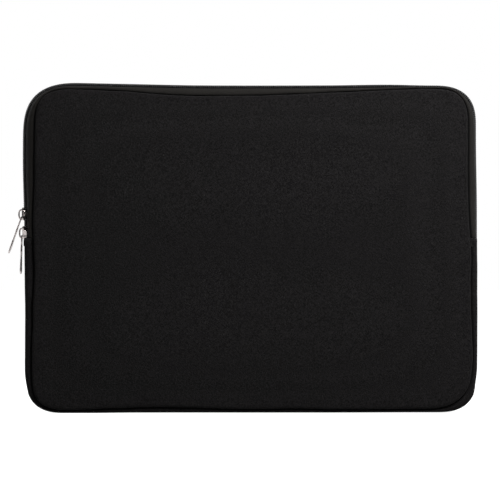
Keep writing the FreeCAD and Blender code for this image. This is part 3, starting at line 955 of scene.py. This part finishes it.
    def lining(self) -> bpy.types.Object:
        """The lining: rings of the seam outline shrunk to the middle line, with slow ripples."""
        seam = seam_of(self.side).closed_route()
        outline = seam - outward(seam, closed=True) * 1.4
        t = np.linspace(0.0, 1.0, 37)[:, None, None]
        xz = outline[None] + (self.core(outline) - outline)[None] * t
        x, z = xz[..., 0], xz[..., 1]
        ripple = 0.10 * np.sin(x / 17.0 + 0.6) * np.sin(z / 13.0 + 1.1)
        y = self.side.value * (self.lining_depth - ripple * ease(t[..., 0], 0.0, 0.3))
        parts = MeshParts()
        parts.add(at_depth(xz, y), grid_faces(37, len(seam), False, True))
        piece = parts.build(f"{self.word}_lining_sheet", merge=0.02)
        thicken(piece, 0.4, 0.0)
        dress(piece, self.finishes.pile)
        attach(piece, self.side)
        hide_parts(*cad_nodes(self.side, "lining"))
        return piece

    def binding(self) -> bpy.types.Object:
        """Tape over the inner seam: a flat rounded section carried round inside the seam."""
        seam = seam_of(self.side).closed_route()
        normal = outward(seam, closed=True)
        path = seam - normal * self.binding_inset
        s, _ = distance_round(seam)
        across = np.linspace(-self.binding_half_width, self.binding_half_width, 9)
        dome = self.binding_dome * (1.0 - (across / self.binding_half_width) ** 2)
        xz = path[:, None] + normal[:, None] * across[None, :, None]
        grid = at_depth(xz, self.side.value * (self.binding_depth - dome))
        parts = MeshParts()
        parts.add(grid, grid_faces(*grid.shape[:2], True, False),
                  surface_pair(s[:, None], across[None]))
        piece = parts.build(f"{self.word}_binding_tape")
        thicken(piece, 0.4, 0.0)
        dress(piece, self.finishes.binding)
        attach(piece, self.side)
        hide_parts(*cad_nodes(self.side, "seam_binding"))
        return piece

    def stitches(self) -> bpy.types.Object:
        """Lockstitches along the middle of the binding, each a short bent thread.

        A stitch dips along half a sine wave and is thinner at both ends.

        Returns:
            All the stitches of one panel.
        """
        seam = seam_of(self.side).closed_route()
        path = respace(seam - outward(seam, closed=True) * self.binding_inset, 4000)
        full = distance_along(path)
        count = int(full[-1] / self.stitch_pitch)
        starts = (np.arange(count) + 0.1) * (full[-1] / count)
        rows, sides = 5, 6
        local = np.linspace(0.0, 1.0, rows)
        s = starts[:, None] + local[None] * self.stitch_length
        depth = self.stitch_depth - 0.24 * np.sin(np.pi * local)
        centre = at_depth(read_at(s, full, path), self.side.value * depth[None])
        tangent = unit(np.gradient(centre, axis=1))
        up = np.broadcast_to(np.array([0.0, 1.0, 0.0]), tangent.shape)
        beside = unit(np.cross(tangent, up))
        up = np.cross(beside, tangent)
        ring = round_section(0.22, 0.2, 2.0, sides)
        taper = np.array([0.5, 1.0, 1.0, 1.0, 0.5])[None, :, None, None]
        grid = centre[:, :, None] + taper * (beside[:, :, None] * ring[None, None, :, 0:1]
                                             + up[:, :, None] * ring[None, None, :, 1:2])
        each = rows * sides
        faces = grid_faces(rows, sides, False, True)
        every = (faces[None] + each * np.arange(count)[:, None, None]).reshape(-1, 4)
        caps = [[each * n + k for k in order] for n in range(count)
                for order in (range(sides), range(each - 1, each - sides - 1, -1))]
        parts = MeshParts()
        parts.add(grid, every)
        parts.faces.extend(caps)
        piece = parts.build(f"{self.word}_binding_stitches")
        dress(piece, self.finishes.thread)
        attach(piece, self.side)
        return piece

    def build(self) -> list[bpy.types.Object]:
        """Makes the panel's pieces."""
        return [self.cover(), self.lining(), self.binding(), self.stitches()]


# ---------------------------------------------------------------------------------------------
# Gusset
# ---------------------------------------------------------------------------------------------


@dataclass
class Gusset:
    """The fabric band that joins the panels below the zip, with its lining and end tabs."""

    finishes: Finishes
    half_width: float = 7.9
    squareness: float = 3.4
    shoulder: tuple[tuple[float, ...], ...] = (
        (0.0, 0.0, -1.9, 6.97), (1.0, 0.0, -0.7, 6.95), (1.6, 0.02, -0.1, 7.1),
        (2.2, 0.13, 0.0, 7.75), (2.9, 0.30, 0.0, 8.2), (3.8, 0.52, 0.0, 8.15),
        (4.7, 0.72, 0.0, 7.7), (5.8, 0.88, 0.0, 6.7), (7.2, 0.96, 0.0, 5.2), (9.2, 1.0, 0.0, 3.1),
        (12.3, 1.0, 0.0, 0.0))
    half_count: int = 26
    tab_half_height: float = 3.4
    tab_middle: float = 131.6
    tab_rim: float = 174.4
    tab_seam: float = 169.2
    lining_half_width: float = 6.2
    lining_inset: float = 3.3

    def section(self, count: int) -> tuple[np.ndarray, np.ndarray]:
        """Half a superellipse from the front seam over the rim to the rear seam.

        Args:
            count: Number of points.

        Returns:
            How far each point is from the seam to the rim, 0 to 1, and its share of the half
            width along Y, -1 to 1.
        """
        angle = np.linspace(-np.pi / 2, np.pi / 2, count)
        angle = angle + 0.10 * np.sin(2.0 * angle)
        reach = np.maximum(np.cos(angle), 0.0) ** (2.0 / self.squareness)
        width = np.sign(angle) * np.abs(np.sin(angle)) ** (2.0 / self.squareness)
        return reach, width

    def band(self) -> bpy.types.Object:
        """The outer band: each section runs from one seam to the other and tucks under the lips.

        The section is the shoulder's curve for each half: a share of the way from the seam to
        the rim, a distance out of the seam, and the depth along Y.

        Returns:
            The band.
        """
        rim = RIM.gusset_route()
        front, rear = FRONT_SEAM.gusset_route(), REAR_SEAM.gusset_route()
        s = distance_along(rim)
        half = through(np.linspace(0.0, self.shoulder[-1][0], self.half_count), self.shoulder)
        slow = wander(s, s[-1], 5, (83.0, 47.0, 31.0))[:, None]
        fine = wander(s, s[-1], 6, (13.0, 9.1, 6.7))[:, None]
        flat = ease(rim[:, 1], 1.0, 26.0)[:, None]
        sides = []
        for seam, sign in ((front, -1.0), (rear, 1.0)):
            share, out, depth = half.T
            normal = outward(seam, closed=False)
            plump = (0.16 * slow + 0.05 * fine) * flat * (share * (1.0 - 0.6 * share))[None]
            xz = seam[:, None] + (rim - seam)[:, None] * share[None, :, None]
            xz = xz + normal[:, None] * (out[None] + plump)[..., None]
            y = sign * (depth[None] + (0.12 * slow + 0.06 * fine) * ease(depth, 6.95, 8.0)[None]
                        * ease(share, 0.0, 0.1)[None])
            sides.append(at_depth(xz, y))
        grid = np.concatenate([sides[0], sides[1][:, -2::-1]], axis=1)
        columns = grid.shape[1]
        from_seam = np.linspace(0.0, self.shoulder[-1][0], self.half_count)
        from_seam = np.concatenate([from_seam, from_seam[-2::-1]])
        # The second coordinate places the painted seam shade, narrower near the bottom.
        low = ease(rim[:, 1], 12.0, 5.0)[:, None]
        uv = surface_pair(s[:, None], from_seam[None] + 1.1 * low)
        parts = MeshParts()
        parts.add(grid, grid_faces(len(rim), columns), uv)
        piece = parts.build("gusset_band")
        face_outward(piece)
        thicken(piece, 1.2, -1.0)
        dress(piece, self.finishes.gusset_knit)
        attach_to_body(piece, SLEEVE)
        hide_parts("gusset_cover", "gusset_foam")
        return piece

    def lining(self) -> bpy.types.Object:
        """The lining strip inside the band, a flat ribbon inside the rim."""
        rim = RIM.gusset_route()
        normal = outward(rim, closed=False)
        path = rim - normal * self.lining_inset
        s = distance_along(path)
        y = np.linspace(-self.lining_half_width, self.lining_half_width, 7)
        sag = 0.25 * (1.0 - (y / self.lining_half_width) ** 2)
        grid = at_depth(path[:, None] + normal[:, None] * sag[None, :, None], y)
        parts = MeshParts()
        parts.add(grid, grid_faces(*grid.shape[:2]), surface_pair(s[:, None], y[None]))
        piece = parts.build("gusset_lining_strip")
        thicken(piece, 0.4, 0.0)
        dress(piece, self.finishes.pile)
        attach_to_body(piece, SLEEVE)
        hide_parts("gusset_lining")
        LOG.info("gusset lining is cut 12.5 by %.0f mm", s[-1])
        return piece

    def tab(self, sign: float, word: str, rise: float) -> bpy.types.Object:
        """A folded patch over one end of the zip, a flattened dome round the rim.

        Args:
            sign: -1 for the left end, 1 for the right.
            word: The end's name.
            rise: How far it stands out of the band.

        Returns:
            The patch.
        """
        rows, columns = 15, 25
        reach, width = self.section(columns)
        v = np.linspace(-1.0, 1.0, rows)
        z = self.tab_middle + self.tab_half_height * v
        dome = (1.0 - np.abs(v) ** 6) ** 0.5
        rim_x = sign * self.tab_rim
        seam_x = sign * self.tab_seam
        base = seam_x + (rim_x - seam_x) * reach[None] - sign * 0.35
        x = base + sign * rise * dome[:, None] * np.clip(reach[None] * 1.4, 0.15, 1.0)
        crease = 0.18 * np.cos(3.1 * v)[:, None] * np.abs(width[None])
        y = np.broadcast_to(self.half_width * 0.99 * width[None] - crease * width[None], x.shape)
        parts = MeshParts()
        grid = np.stack([x, y, np.broadcast_to(z[:, None], x.shape)], axis=-1)
        parts.add(grid, grid_faces(rows, columns), surface_pair(z[:, None], width[None] * 8.0))
        piece = parts.build(f"{word}_zip_end_tab_fold")
        face_outward(piece)
        thicken(piece, 0.9, -1.0)
        dress(piece, self.finishes.binding)
        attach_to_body(piece, SLEEVE)
        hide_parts(f"{word}_zip_end_tab")
        return piece

    def build(self) -> list[bpy.types.Object]:
        """Makes the band, its lining and both tabs."""
        return [self.band(), self.lining(), self.tab(-1.0, "left", 1.65),
                self.tab(1.0, "right", 0.75)]


# ---------------------------------------------------------------------------------------------
# Zip
# ---------------------------------------------------------------------------------------------


@dataclass
class ZipHalf:
    """One side of the zip: a woven tape with a nylon coil sewn along its edge."""

    side: Side
    finishes: Finishes
    pitch: float = 1.6
    wire: float = 0.37
    coil_rise: float = 1.0
    coil_half_width: float = 1.72
    coil_middle: float = 1.36
    coil_lean: float = 0.22
    turn_points: int = 12
    wire_sides: int = 6
    tape_under: float = 2.35
    tape_flat: tuple[float, ...] = (0.55, 1.8, 3.0)
    tape_bend: tuple[float, ...] = (3.3, 6.3, 9.0, 7.55)
    tuck_out: tuple[float, ...] = (0.35, 0.0, -0.7, -1.9)
    tuck_depth: tuple[float, ...] = (7.2, 7.0, 6.95, 6.97)
    groove_at: float = 9.0
    right_twist: float = 1.2
    stitch_lanes: tuple[float, ...] = (1.35, 2.35)
    stitch_wave: float = 0.10
    stitch_drop: float = 0.20

    @property
    def word(self) -> str:
        """The tape's name."""
        return self.side.name.lower()

    def chain_shift(self, points: np.ndarray) -> np.ndarray:
        """How far the chain sits towards the rear: only on the right side below the corner."""
        x, z = points[:, 0], points[:, 1]
        return self.right_twist * ease(x, 120.0, 165.0) * ease(z, 246.0, 222.0)

    def tape(self) -> bpy.types.Object:
        """The tape: flat under the coil, then curving back to the panel's seam.

        Beyond the coil it is a cubic Bezier curve. Its handles lie beside the coil and in front
        of the seam, so it stands up beside the coil, turns to the front and dips into the groove,
        then tucks in under the panel.

        Returns:
            The tape.
        """
        rim = RIM.zip_route()
        seam = seam_of(self.side).zip_route()
        normal = outward(rim, closed=False)
        seam_normal = outward(seam, closed=False)
        s = distance_along(rim)
        shift = self.side.value * self.chain_shift(rim)
        cover = ease(rim[:, 0], 120.0, 165.0) * ease(rim[:, 1], 240.0, 216.0)
        seed = 17 if self.side is Side.FRONT else 19
        slow = wander(s, s[-1], seed, (71.0, 43.0, 29.0))
        fine = wander(s, s[-1], seed + 4, (14.0, 9.0, 6.0))
        start = rim - normal * self.tape_under
        slot = 1.1 * ease(rim[:, 0], -120.0, -165.0)
        top = 0.8 * ease(rim[:, 1], 236.0, 250.0) * (1.0 - ease(rim[:, 0], 90.0, 130.0))
        deep = 1.75 + np.maximum(slot, top) - 2.5 * cover - 0.12 * slow
        stand = rim - normal * deep[:, None]
        shoulder = seam + seam_normal * (2.3 + 0.25 * slow + 0.1 * fine)[:, None]
        narrow = 1.0 - 0.5 * ease(seam[:, 1], 226.0, 244.0)[:, None]
        end = seam + seam_normal * 0.55 * narrow
        t = np.linspace(0.0, 1.0, 17)[1:]
        weights = [(1 - t) ** 3, 3 * t * (1 - t) ** 2, 3 * t ** 2 * (1 - t), t ** 3]
        curve = sum(w[None, :, None] * p[:, None]
                    for w, p in zip(weights, (start, stand, shoulder, end)))
        one = np.ones_like(s)
        first, second, third, last = self.tape_bend
        depths = ((first + shift) * one, second * one, third + 0.2 * slow + 0.1 * fine, last * one)
        curve_y = sum(w[None] * y[:, None] for w, y in zip(weights, depths))
        flat_y = shift[:, None] + np.array(self.tape_flat)
        tuck = [seam + seam_normal * d * narrow for d in self.tuck_out]
        tuck_y = np.broadcast_to(self.tuck_depth, (len(s), len(self.tuck_depth)))
        xz = np.concatenate([np.repeat(start[:, None], len(self.tape_flat), axis=1), curve,
                             np.stack(tuck, axis=1)], axis=1)
        y = np.concatenate([flat_y, curve_y, tuck_y], axis=1)
        grid = at_depth(xz, self.side.value * y)
        step = np.linalg.norm(np.diff(grid, axis=1), axis=2)
        across = np.concatenate([np.zeros((len(rim), 1)), np.cumsum(step, axis=1)], axis=1)
        # The second coordinate places the tape's painted shades: 0 at the seam end, scaled to
        # groove_at where the tape leaves the coil so the painted shade beside the coil falls at the
        # same place all round, and shifted on the right side to widen the painted seam shade.
        across = across[:, -5:-4] - across
        across = across * (self.groove_at / across[:, 2:3])
        across = across - 0.35 * ease(seam[:, :1], 150.0, 166.0)
        parts = MeshParts()
        parts.add(grid, grid_faces(*grid.shape[:2]), surface_pair(s[:, None], across))
        piece = parts.build(f"{self.word}_tape")
        face_outward(piece)
        thicken(piece, 0.5, -1.0)
        dress(piece, self.finishes.tape)
        attach(piece, self.side)
        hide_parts(*cad_nodes(self.side, "zip_tape", "_ends"))
        return piece

    def coil(self) -> bpy.types.Object:
        """The coil: a filament wound in a flattened helix along the rim.

        Each turn lies across the chain with its head past the middle, between two turns of the
        other coil, and leans back along the tape's edge: s = pitch * turn + lean, y and the rise
        are the cosine and sine of the turn.

        Returns:
            The coil.
        """
        rim = respace(RIM.zip_route(), 1600)
        normal = outward(rim, closed=False)
        full = distance_along(rim)
        turns = int(full[-1] / self.pitch) - 1
        count = turns * self.turn_points
        turn = np.arange(count) / self.turn_points
        angle = 2.0 * np.pi * turn
        shift = 0.0 if self.side is Side.FRONT else 0.5
        s = self.pitch * (turn + shift + 0.35) + self.coil_lean * self.pitch * np.sin(angle)
        top, out = read_at(s, full, rim), read_at(s, full, normal)
        rise = self.coil_rise * np.sin(angle) - self.coil_rise - self.wire
        middle_y = self.side.value * self.coil_middle + self.chain_shift(top)
        y = middle_y - self.side.value * self.coil_half_width * np.cos(angle)
        path = at_depth(top + out * rise[:, None], y)
        tangent = unit(np.gradient(path, axis=0))
        middle = at_depth(top - out * (self.coil_rise + self.wire), middle_y)
        spoke = unit(path - middle)
        beside = unit(np.cross(tangent, spoke))
        up = np.cross(beside, tangent)
        grid = sweep(path, beside, up, round_section(self.wire, self.wire, 2.2, self.wire_sides))
        parts = MeshParts()
        parts.add_tube(grid, closed=False)
        piece = parts.build(f"{self.word}_coil")
        dress(piece, self.finishes.nylon)
        attach(piece, self.side)
        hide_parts(*cad_nodes(self.side, "zip_coil", "_ends"))
        LOG.info("%s has %d turns", piece.name, turns)
        return piece

    def coil_stitches(self) -> bpy.types.Object:
        """Two rows of thread that hold the coil to the tape, wavy lines over the coil's legs."""
        rim = respace(RIM.zip_route(), 1200)
        normal = outward(rim, closed=False)
        s = distance_along(rim)
        parts = MeshParts()
        rise = self.stitch_wave * np.sin(2.0 * np.pi * s / self.pitch) - self.stitch_drop
        up = at_depth(normal, 0.0)
        for lane in self.stitch_lanes:
            depth = self.side.value * lane + self.chain_shift(rim)
            path = at_depth(rim + normal * rise[:, None], depth)
            tangent = unit(np.gradient(path, axis=0))
            beside = unit(np.cross(tangent, up))
            parts.add_tube(sweep(path, beside, up, round_section(0.2, 0.16, 2.0, 5)), False)
        piece = parts.build(f"{self.word}_coil_stitches")
        dress(piece, self.finishes.thread)
        attach(piece, self.side)
        return piece

    def build(self) -> list[bpy.types.Object]:
        """Makes the tape, the coil and its stitching."""
        return [self.tape(), self.coil(), self.coil_stitches()]


# ---------------------------------------------------------------------------------------------
# Sliders
# ---------------------------------------------------------------------------------------------


@dataclass
class Slider:
    """A die-cast slider on the left run of the zip, with its bridge and hanging pull.

    Its own sizes are measured from the chain's line at chain_x, outward: the plates, the flanges'
    reach and the bridge's rise. The pull turns about a point below the middle of the bridge.
    """

    level: str
    finishes: Finishes
    height: float
    head_up: bool
    pull_angle: float
    flange_reach: float
    flange_end: float
    bridge_rise: float
    chain_x: float
    half_length: float = 4.9
    head_half_width: float = 4.85
    tail_half_width: float = 4.35
    plate_far: float = 1.3
    plate_near: float = 0.55
    flange_metal: float = 0.7
    inner_near: float = -3.4
    inner_far: float = -4.2
    bridge_half_length: float = 3.7
    bridge_drop: float = 0.55
    pivot_rise: float = 1.8
    pivot_drop: float = 2.5
    pull_length: float = 29.7
    eye_length: float = 6.2
    eye_overlap: float = 0.25
    tip_round: float = 1.9

    def place(self, points: np.ndarray) -> np.ndarray:
        """Local points (along Z, across Y, outward) as points of the sleeve's frame."""
        return np.stack([self.chain_x - points[..., 2], points[..., 1],
                         self.height + points[..., 0]], axis=-1)

    def half_width(self, z: np.ndarray) -> np.ndarray:
        """Width along the slider: narrow at the tail, widening to the head past its middle."""
        along = z if self.head_up else -z
        grow = ease(along, -2.6, 4.2)
        return self.tail_half_width + (self.head_half_width - self.tail_half_width) * grow

    def body(self) -> bpy.types.Object:
        """Outer plate with its flanges, inner plate and post.

        The outer plate is a channel section: a crowned top, rounded shoulders and two flanges,
        as matched outer and inner lines, carried along the chain while its width follows the
        head and tail. The flanges run out towards the head and at the tail, and the ends slope in.

        Returns:
            The slider's body.
        """
        stations = np.concatenate([[-1.0, -0.97, -0.9], np.linspace(-0.8, 0.8, 15),
                                   [0.9, 0.97, 1.0]])
        end = np.abs(stations)
        z = stations * self.half_length
        drop = 0.55 * ease(end, 0.72, 1.0) ** 2
        pinch = 0.35 * ease(end, 0.8, 1.0)
        width = self.half_width(z) - pinch
        top, under, foot = self.plate_far, self.plate_near, self.flange_reach
        metal = self.flange_metal
        outer = np.array([(-0.84, foot - 0.05), (-0.90, foot + 0.2), (-0.94, foot + 0.7),
                          (-0.965, foot + 1.3), (-1.0, 0.1), (-0.985, 0.75), (-0.93, 1.2),
                          (-0.82, top - 0.1), (-0.5, top - 0.03), (0.0, top)])
        inner = np.array([(-0.95, foot), (-0.97, foot + 0.25), (-0.99, foot + 0.7),
                          (-1.0, foot + 1.3), (-1.0, -0.2), (-1.0, 0.0), (-0.97, under - 0.1),
                          (-0.8, under), (-0.5, under), (0.0, under)])
        outer = np.concatenate([outer, outer[-2::-1] * (-1, 1)])
        inner = np.concatenate([inner, inner[-2::-1] * (-1, 1)])
        outer_y = outer[None, :, 0] * width[:, None]
        inner_y = inner[None, :, 0] * (width - metal)[:, None]
        along = z if self.head_up else -z
        kept = (1.0 - 0.9 * ease(along, 0.4, 2.6) - 0.85 * ease(-along, self.flange_end - 0.9,
                                                                self.flange_end))[:, None]
        outer_u = outer[None, :, 1] * np.where(outer[None, :, 1] < 0, kept, 1.0)
        outer_u = outer_u - drop[:, None] * (outer[None, :, 1] > 0)
        inner_u = inner[None, :, 1] * np.where(inner[None, :, 1] < 0, kept, 1.0)
        count = outer.shape[0]
        rows = len(z)
        z_grid = np.broadcast_to(z[:, None], outer_y.shape)
        loop = np.concatenate([np.stack([z_grid, outer_y, outer_u], -1),
                               np.stack([z_grid, inner_y, inner_u], -1)[:, ::-1]], axis=1)
        parts = MeshParts()
        total = 2 * count
        parts.add(self.place(loop), grid_faces(rows, total, False, True))
        for base in (0, (rows - 1) * total):
            for i in range(count - 1):
                parts.faces.append([base + i, base + i + 1, base + total - 2 - i,
                                    base + total - 1 - i])
        parts.add_tube(self.plate_grid(), closed=False)
        parts.add_tube(self.post_grid(), closed=False)
        piece = parts.build(f"{self.level}_slider_casting")
        soften_edges(piece, 0.14)
        self.finish(piece, f"{self.level}_slider", f"{self.level}_slider_body")
        return piece

    def plate_grid(self) -> np.ndarray:
        """The inner plate: a flat rounded section that narrows at both ends."""
        z = self.half_length * np.array([-1.0, -0.94, -0.75, -0.3, 0.0, 0.3, 0.75, 0.94, 1.0])
        width = self.half_width(z) - 0.9 * ease(np.abs(z), 3.4, self.half_length) - 0.1
        middle = 0.5 * (self.inner_near + self.inner_far)
        half = 0.5 * (self.inner_near - self.inner_far)
        section = round_section(1.0, half, 7.0, 20)
        y = section[None, :, 0] * width[:, None]
        u = middle + section[None, :, 1] + 0.0 * y
        return self.place(np.stack([z[:, None] + 0.0 * y, y, u], axis=-1))

    def post_grid(self) -> np.ndarray:
        """The post between the plates: a pointed section from plate to plate."""
        section = np.array([(1.75, 0.0), (0.7, 0.42), (-0.7, 0.42), (-1.75, 0.0), (-0.7, -0.42),
                            (0.7, -0.42)])
        u = np.linspace(self.inner_near - 0.2, self.plate_near + 0.2, 4)
        along = section[None, :, 0] + 0.0 * u[:, None]
        across = section[None, :, 1] + 0.0 * u[:, None]
        return self.place(np.stack([along, across, u[:, None] + 0.0 * along], axis=-1))

    def bridge(self) -> bpy.types.Object:
        """The bridge: half a superellipse over the plate, with a flat rounded section."""
        angle = np.linspace(0.0, np.pi, 27)
        power = 2.0 / 2.9
        z = self.bridge_half_length * np.sign(np.cos(angle)) * np.abs(np.cos(angle)) ** power
        z = z - self.bridge_drop
        foot = self.plate_far - 0.4
        u = foot + (self.bridge_rise - foot) * np.sin(angle) ** power
        path = np.stack([z, 0.0 * z, u], axis=1)
        path = respace(path, 27)
        tangent = unit(np.gradient(path, axis=0))
        beside = np.broadcast_to(np.array([0.0, 1.0, 0.0]), path.shape)
        up = np.cross(beside, tangent)
        flare = 1.0 + 0.5 * ease(np.abs(path[:, 2] - self.bridge_rise), 1.4, 2.4)
        section = round_section(0.85, 0.6, 3.8, 16)[None] * np.stack(
            [flare, np.ones(27)], axis=1)[:, None]
        parts = MeshParts()
        parts.add_tube(self.place(sweep(path, beside, up, section)), closed=False)
        piece = parts.build(f"{self.level}_slider_arch")
        self.finish(piece, f"{self.level}_slider", f"{self.level}_slider_bridge")
        return piece

    def hang(self, points: np.ndarray) -> np.ndarray:
        """Points of the pull, drawn hanging from the origin, turned out and put at its pivot."""
        pivot = np.array([self.chain_x - self.pivot_rise, 0.0, self.height - self.pivot_drop])
        return rotate_y(points, self.pull_angle) + pivot

    def pull(self) -> bpy.types.Object:
        """The pull: a cast loop for the bridge, then a flat tab with a sunk middle.

        The loop is a rounded bar carried round a long superellipse. The tab is a squarish
        section carried down its length, whose width and thickness swell and narrow.

        Returns:
            The pull.
        """
        angle = np.linspace(0.0, 2.0 * np.pi, 44, endpoint=False)
        ring = round_section(1.68, 0.5 * self.eye_length + 0.1, 5.0, 44)
        path = np.stack([0.0 * angle, ring[:, 0], ring[:, 1] - 0.5 * self.eye_length - 0.1], 1)
        tangent = unit(np.roll(path, -1, axis=0) - np.roll(path, 1, axis=0))
        up = np.broadcast_to(np.array([1.0, 0.0, 0.0]), path.shape)
        beside = np.cross(tangent, up)
        parts = MeshParts()
        loop = sweep(path, beside, up, round_section(0.46, 0.46, 2.6, 12))
        parts.add_tube(self.hang(loop), closed=True)

        tab = self.pull_length - self.eye_length
        length = tab + self.eye_overlap
        z = -self.eye_length + self.eye_overlap - np.concatenate([
            [0.0, 0.12, 0.35], np.linspace(0.7, tab - 2.2, 24),
            length - np.array([1.7, 1.2, 0.75, 0.38, 0.12, 0.0])])
        depth = -z - self.eye_length + self.eye_overlap
        into_tip = ((depth - length + self.tip_round) / self.tip_round).clip(0.0)
        tip = np.sqrt(np.clip(1.0 - into_tip ** 2, 0.02, 1.0))
        width = (2.1 + 0.75 * ease(depth, 0.0, 6.5) - 0.35 * hump(depth, 11.0, 4.0)
                 + 0.15 * ease(depth, 14.0, 20.0)) * (0.55 + 0.45 * tip)
        width = width * np.where(depth < 0.3, 0.86 + 0.45 * depth, 1.0)
        thick = (0.56 + 0.12 * ease(depth, 0.5, 4.0) - 0.10 * hump(depth, 10.0, 3.0)
                 + 0.08 * hump(depth, 19.0, 3.5)) * (0.35 + 0.65 * tip)
        thick = thick * np.where(depth < 0.3, 0.7 + depth, 1.0)
        section = round_section(1.0, 1.0, 4.5, 28)
        sunk = 0.32 * (1.0 - ease(np.abs(section[:, 0]), 0.5, 0.66))
        inside = ease(depth, 3.2, 4.4) * (1.0 - ease(depth, length - 3.6, length - 2.4))
        y = width[:, None] * section[None, :, 0]
        x = thick[:, None] * section[None, :, 1] * (1.0 - sunk[None] * inside[:, None])
        parts.add_tube(self.hang(np.stack([x, y, z[:, None] + 0.0 * x], axis=-1)), closed=False)
        piece = parts.build(f"{self.level}_pull_tab")
        self.finish(piece, f"{self.level}_pull", f"{self.level}_slider_pull")
        return piece

    def finish(self, piece: bpy.types.Object, body: str, node: str) -> None:
        """Plates a piece, fixes it to its body and lets it stand for its CAD node."""
        dress(piece, self.finishes.plated)
        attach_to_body(piece, body)
        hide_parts(node)

    def build(self) -> list[bpy.types.Object]:
        """Makes the body, the bridge and the pull."""
        return [self.body(), self.bridge(), self.pull()]


# ---------------------------------------------------------------------------------------------
# Floor, light and camera
# ---------------------------------------------------------------------------------------------


@dataclass(frozen=True)
class Studio:
    """A white floor, soft light from the upper right and a long lens square to the front."""

    aim: tuple[float, float, float] = (-0.00073, 0.0, 0.12585)
    distance: float = 2.0
    view_width: float = 0.38675
    sensor: float = 36.0
    room: float = 0.03
    wall: float = 0.22
    ceiling: float = 0.25

    def floor(self) -> None:
        """A wide white floor that glows a little, so that it stays as pale as the surround."""
        mesh = bpy.data.meshes.new("floor")
        half = 6.0
        mesh.from_pydata([(-half, -half, 0), (half, -half, 0), (half, half, 0), (-half, half, 0)],
                         [], [[0, 1, 2, 3]])
        floor = bpy.data.objects.new("floor", mesh)
        bpy.context.scene.collection.objects.link(floor)
        floor.visible_diffuse = False
        paint = Paint("floor_white")
        paint.constant(base_color=(0.4, 0.4, 0.4, 1.0), roughness=0.9, specular_ior_level=0.0,
                       emission_color=(1.0, 1.0, 1.0, 1.0), emission_strength=0.93)
        mesh.materials.append(paint.material)

    def surroundings(self) -> None:
        """A backdrop that looks white and lights the sleeve as a dim room with a pale wall behind.

        The room's brightness rises from the dark camera side to the wall behind, and upward.
        """
        world = bpy.data.worlds.new("surround")
        world.use_nodes = True
        tree = world.node_tree
        tree.nodes.clear()
        way = add_node(tree, "ShaderNodeTexCoord", {}, {}).outputs["Generated"]
        split = add_node(tree, "ShaderNodeSeparateXYZ", {}, {0: way})
        room = self.room
        for axis, low, high, most in (("Y", -0.25, 0.75, self.wall), ("Z", 0.1, 1.0, self.ceiling)):
            ramp = add_node(tree, "ShaderNodeMapRange", {"interpolation_type": "SMOOTHSTEP"},
                            {"Value": split.outputs[axis], "From Min": low, "From Max": high,
                             "To Min": 0.0, "To Max": most})
            room = add_node(tree, "ShaderNodeMath", {"operation": "ADD"},
                            {0: ramp.outputs["Result"], 1: room}).outputs[0]
        white = {"Color": (1.0, 1.0, 1.0, 1.0)}
        lit = add_node(tree, "ShaderNodeBackground", {}, {**white, "Strength": room})
        seen = add_node(tree, "ShaderNodeBackground", {}, white)
        ray = add_node(tree, "ShaderNodeLightPath", {}, {})
        choice = add_node(tree, "ShaderNodeMixShader", {},
                          {0: ray.outputs["Is Camera Ray"], 1: lit.outputs[0],
                           2: seen.outputs[0]})
        add_node(tree, "ShaderNodeOutputWorld", {}, {"Surface": choice.outputs[0]})
        bpy.context.scene.world = world
        bpy.context.scene.view_settings.view_transform = "Standard"

    def lamp(self, name: str, place: tuple[float, float, float], size: float,
             power: float) -> None:
        """A square soft light that looks at the sleeve's middle."""
        light = bpy.data.lights.new(name, "AREA")
        light.size = size
        light.energy = power
        lamp = bpy.data.objects.new(name, light)
        bpy.context.scene.collection.objects.link(lamp)
        lamp.location = place
        lamp.rotation_euler = (Vector(self.aim) - lamp.location).to_track_quat("-Z", "Y").to_euler()

    def camera(self) -> None:
        """Square to the front, framed so that the sleeve fills nine tenths of the width."""
        lens = bpy.data.cameras.new("camera")
        lens.sensor_width = self.sensor
        lens.lens = self.sensor * self.distance / self.view_width
        camera = bpy.data.objects.new("camera", lens)
        bpy.context.scene.collection.objects.link(camera)
        camera.location = (self.aim[0], self.aim[1] - self.distance, self.aim[2])
        camera.rotation_euler = (math.pi / 2, 0.0, 0.0)
        bpy.context.scene.camera = camera

    def build(self) -> None:
        """Makes the floor, the light and the camera."""
        self.floor()
        self.surroundings()
        self.lamp("key_light", (0.42, -0.48, 0.72), 0.5, 14.6)
        self.lamp("fill_light", (-0.15, -0.80, 0.55), 0.5, 0.5)
        self.lamp("right_rim_light", (1.0, 0.50, 0.55), 0.6, 1.2)
        self.lamp("left_rim_light", (-0.90, 0.60, 0.45), 0.6, 5.0)
        self.camera()


def main() -> None:
    """Builds the sleeve piece by piece, then the studio."""
    logging.basicConfig(level=logging.INFO, format="%(message)s")
    finishes = Finishes()
    assemblies = [
        Panel(Side.FRONT, finishes),
        Panel(Side.REAR, finishes),
        Gusset(finishes),
        ZipHalf(Side.FRONT, finishes),
        ZipHalf(Side.REAR, finishes),
        Slider("upper", finishes, height=153.8, head_up=False, pull_angle=19.3,
               flange_reach=-1.95, flange_end=2.9, bridge_rise=3.7, chain_x=-175.7),
        Slider("lower", finishes, height=139.4, head_up=True, pull_angle=1.5,
               flange_reach=-2.8, flange_end=6.0, bridge_rise=3.5, chain_x=-175.4),
    ]
    for assembly in assemblies:
        for piece in assembly.build():
            LOG.info("made %s with %d faces", piece.name, len(piece.data.polygons))
    Studio().build()


if __name__ == "__main__":
    main()
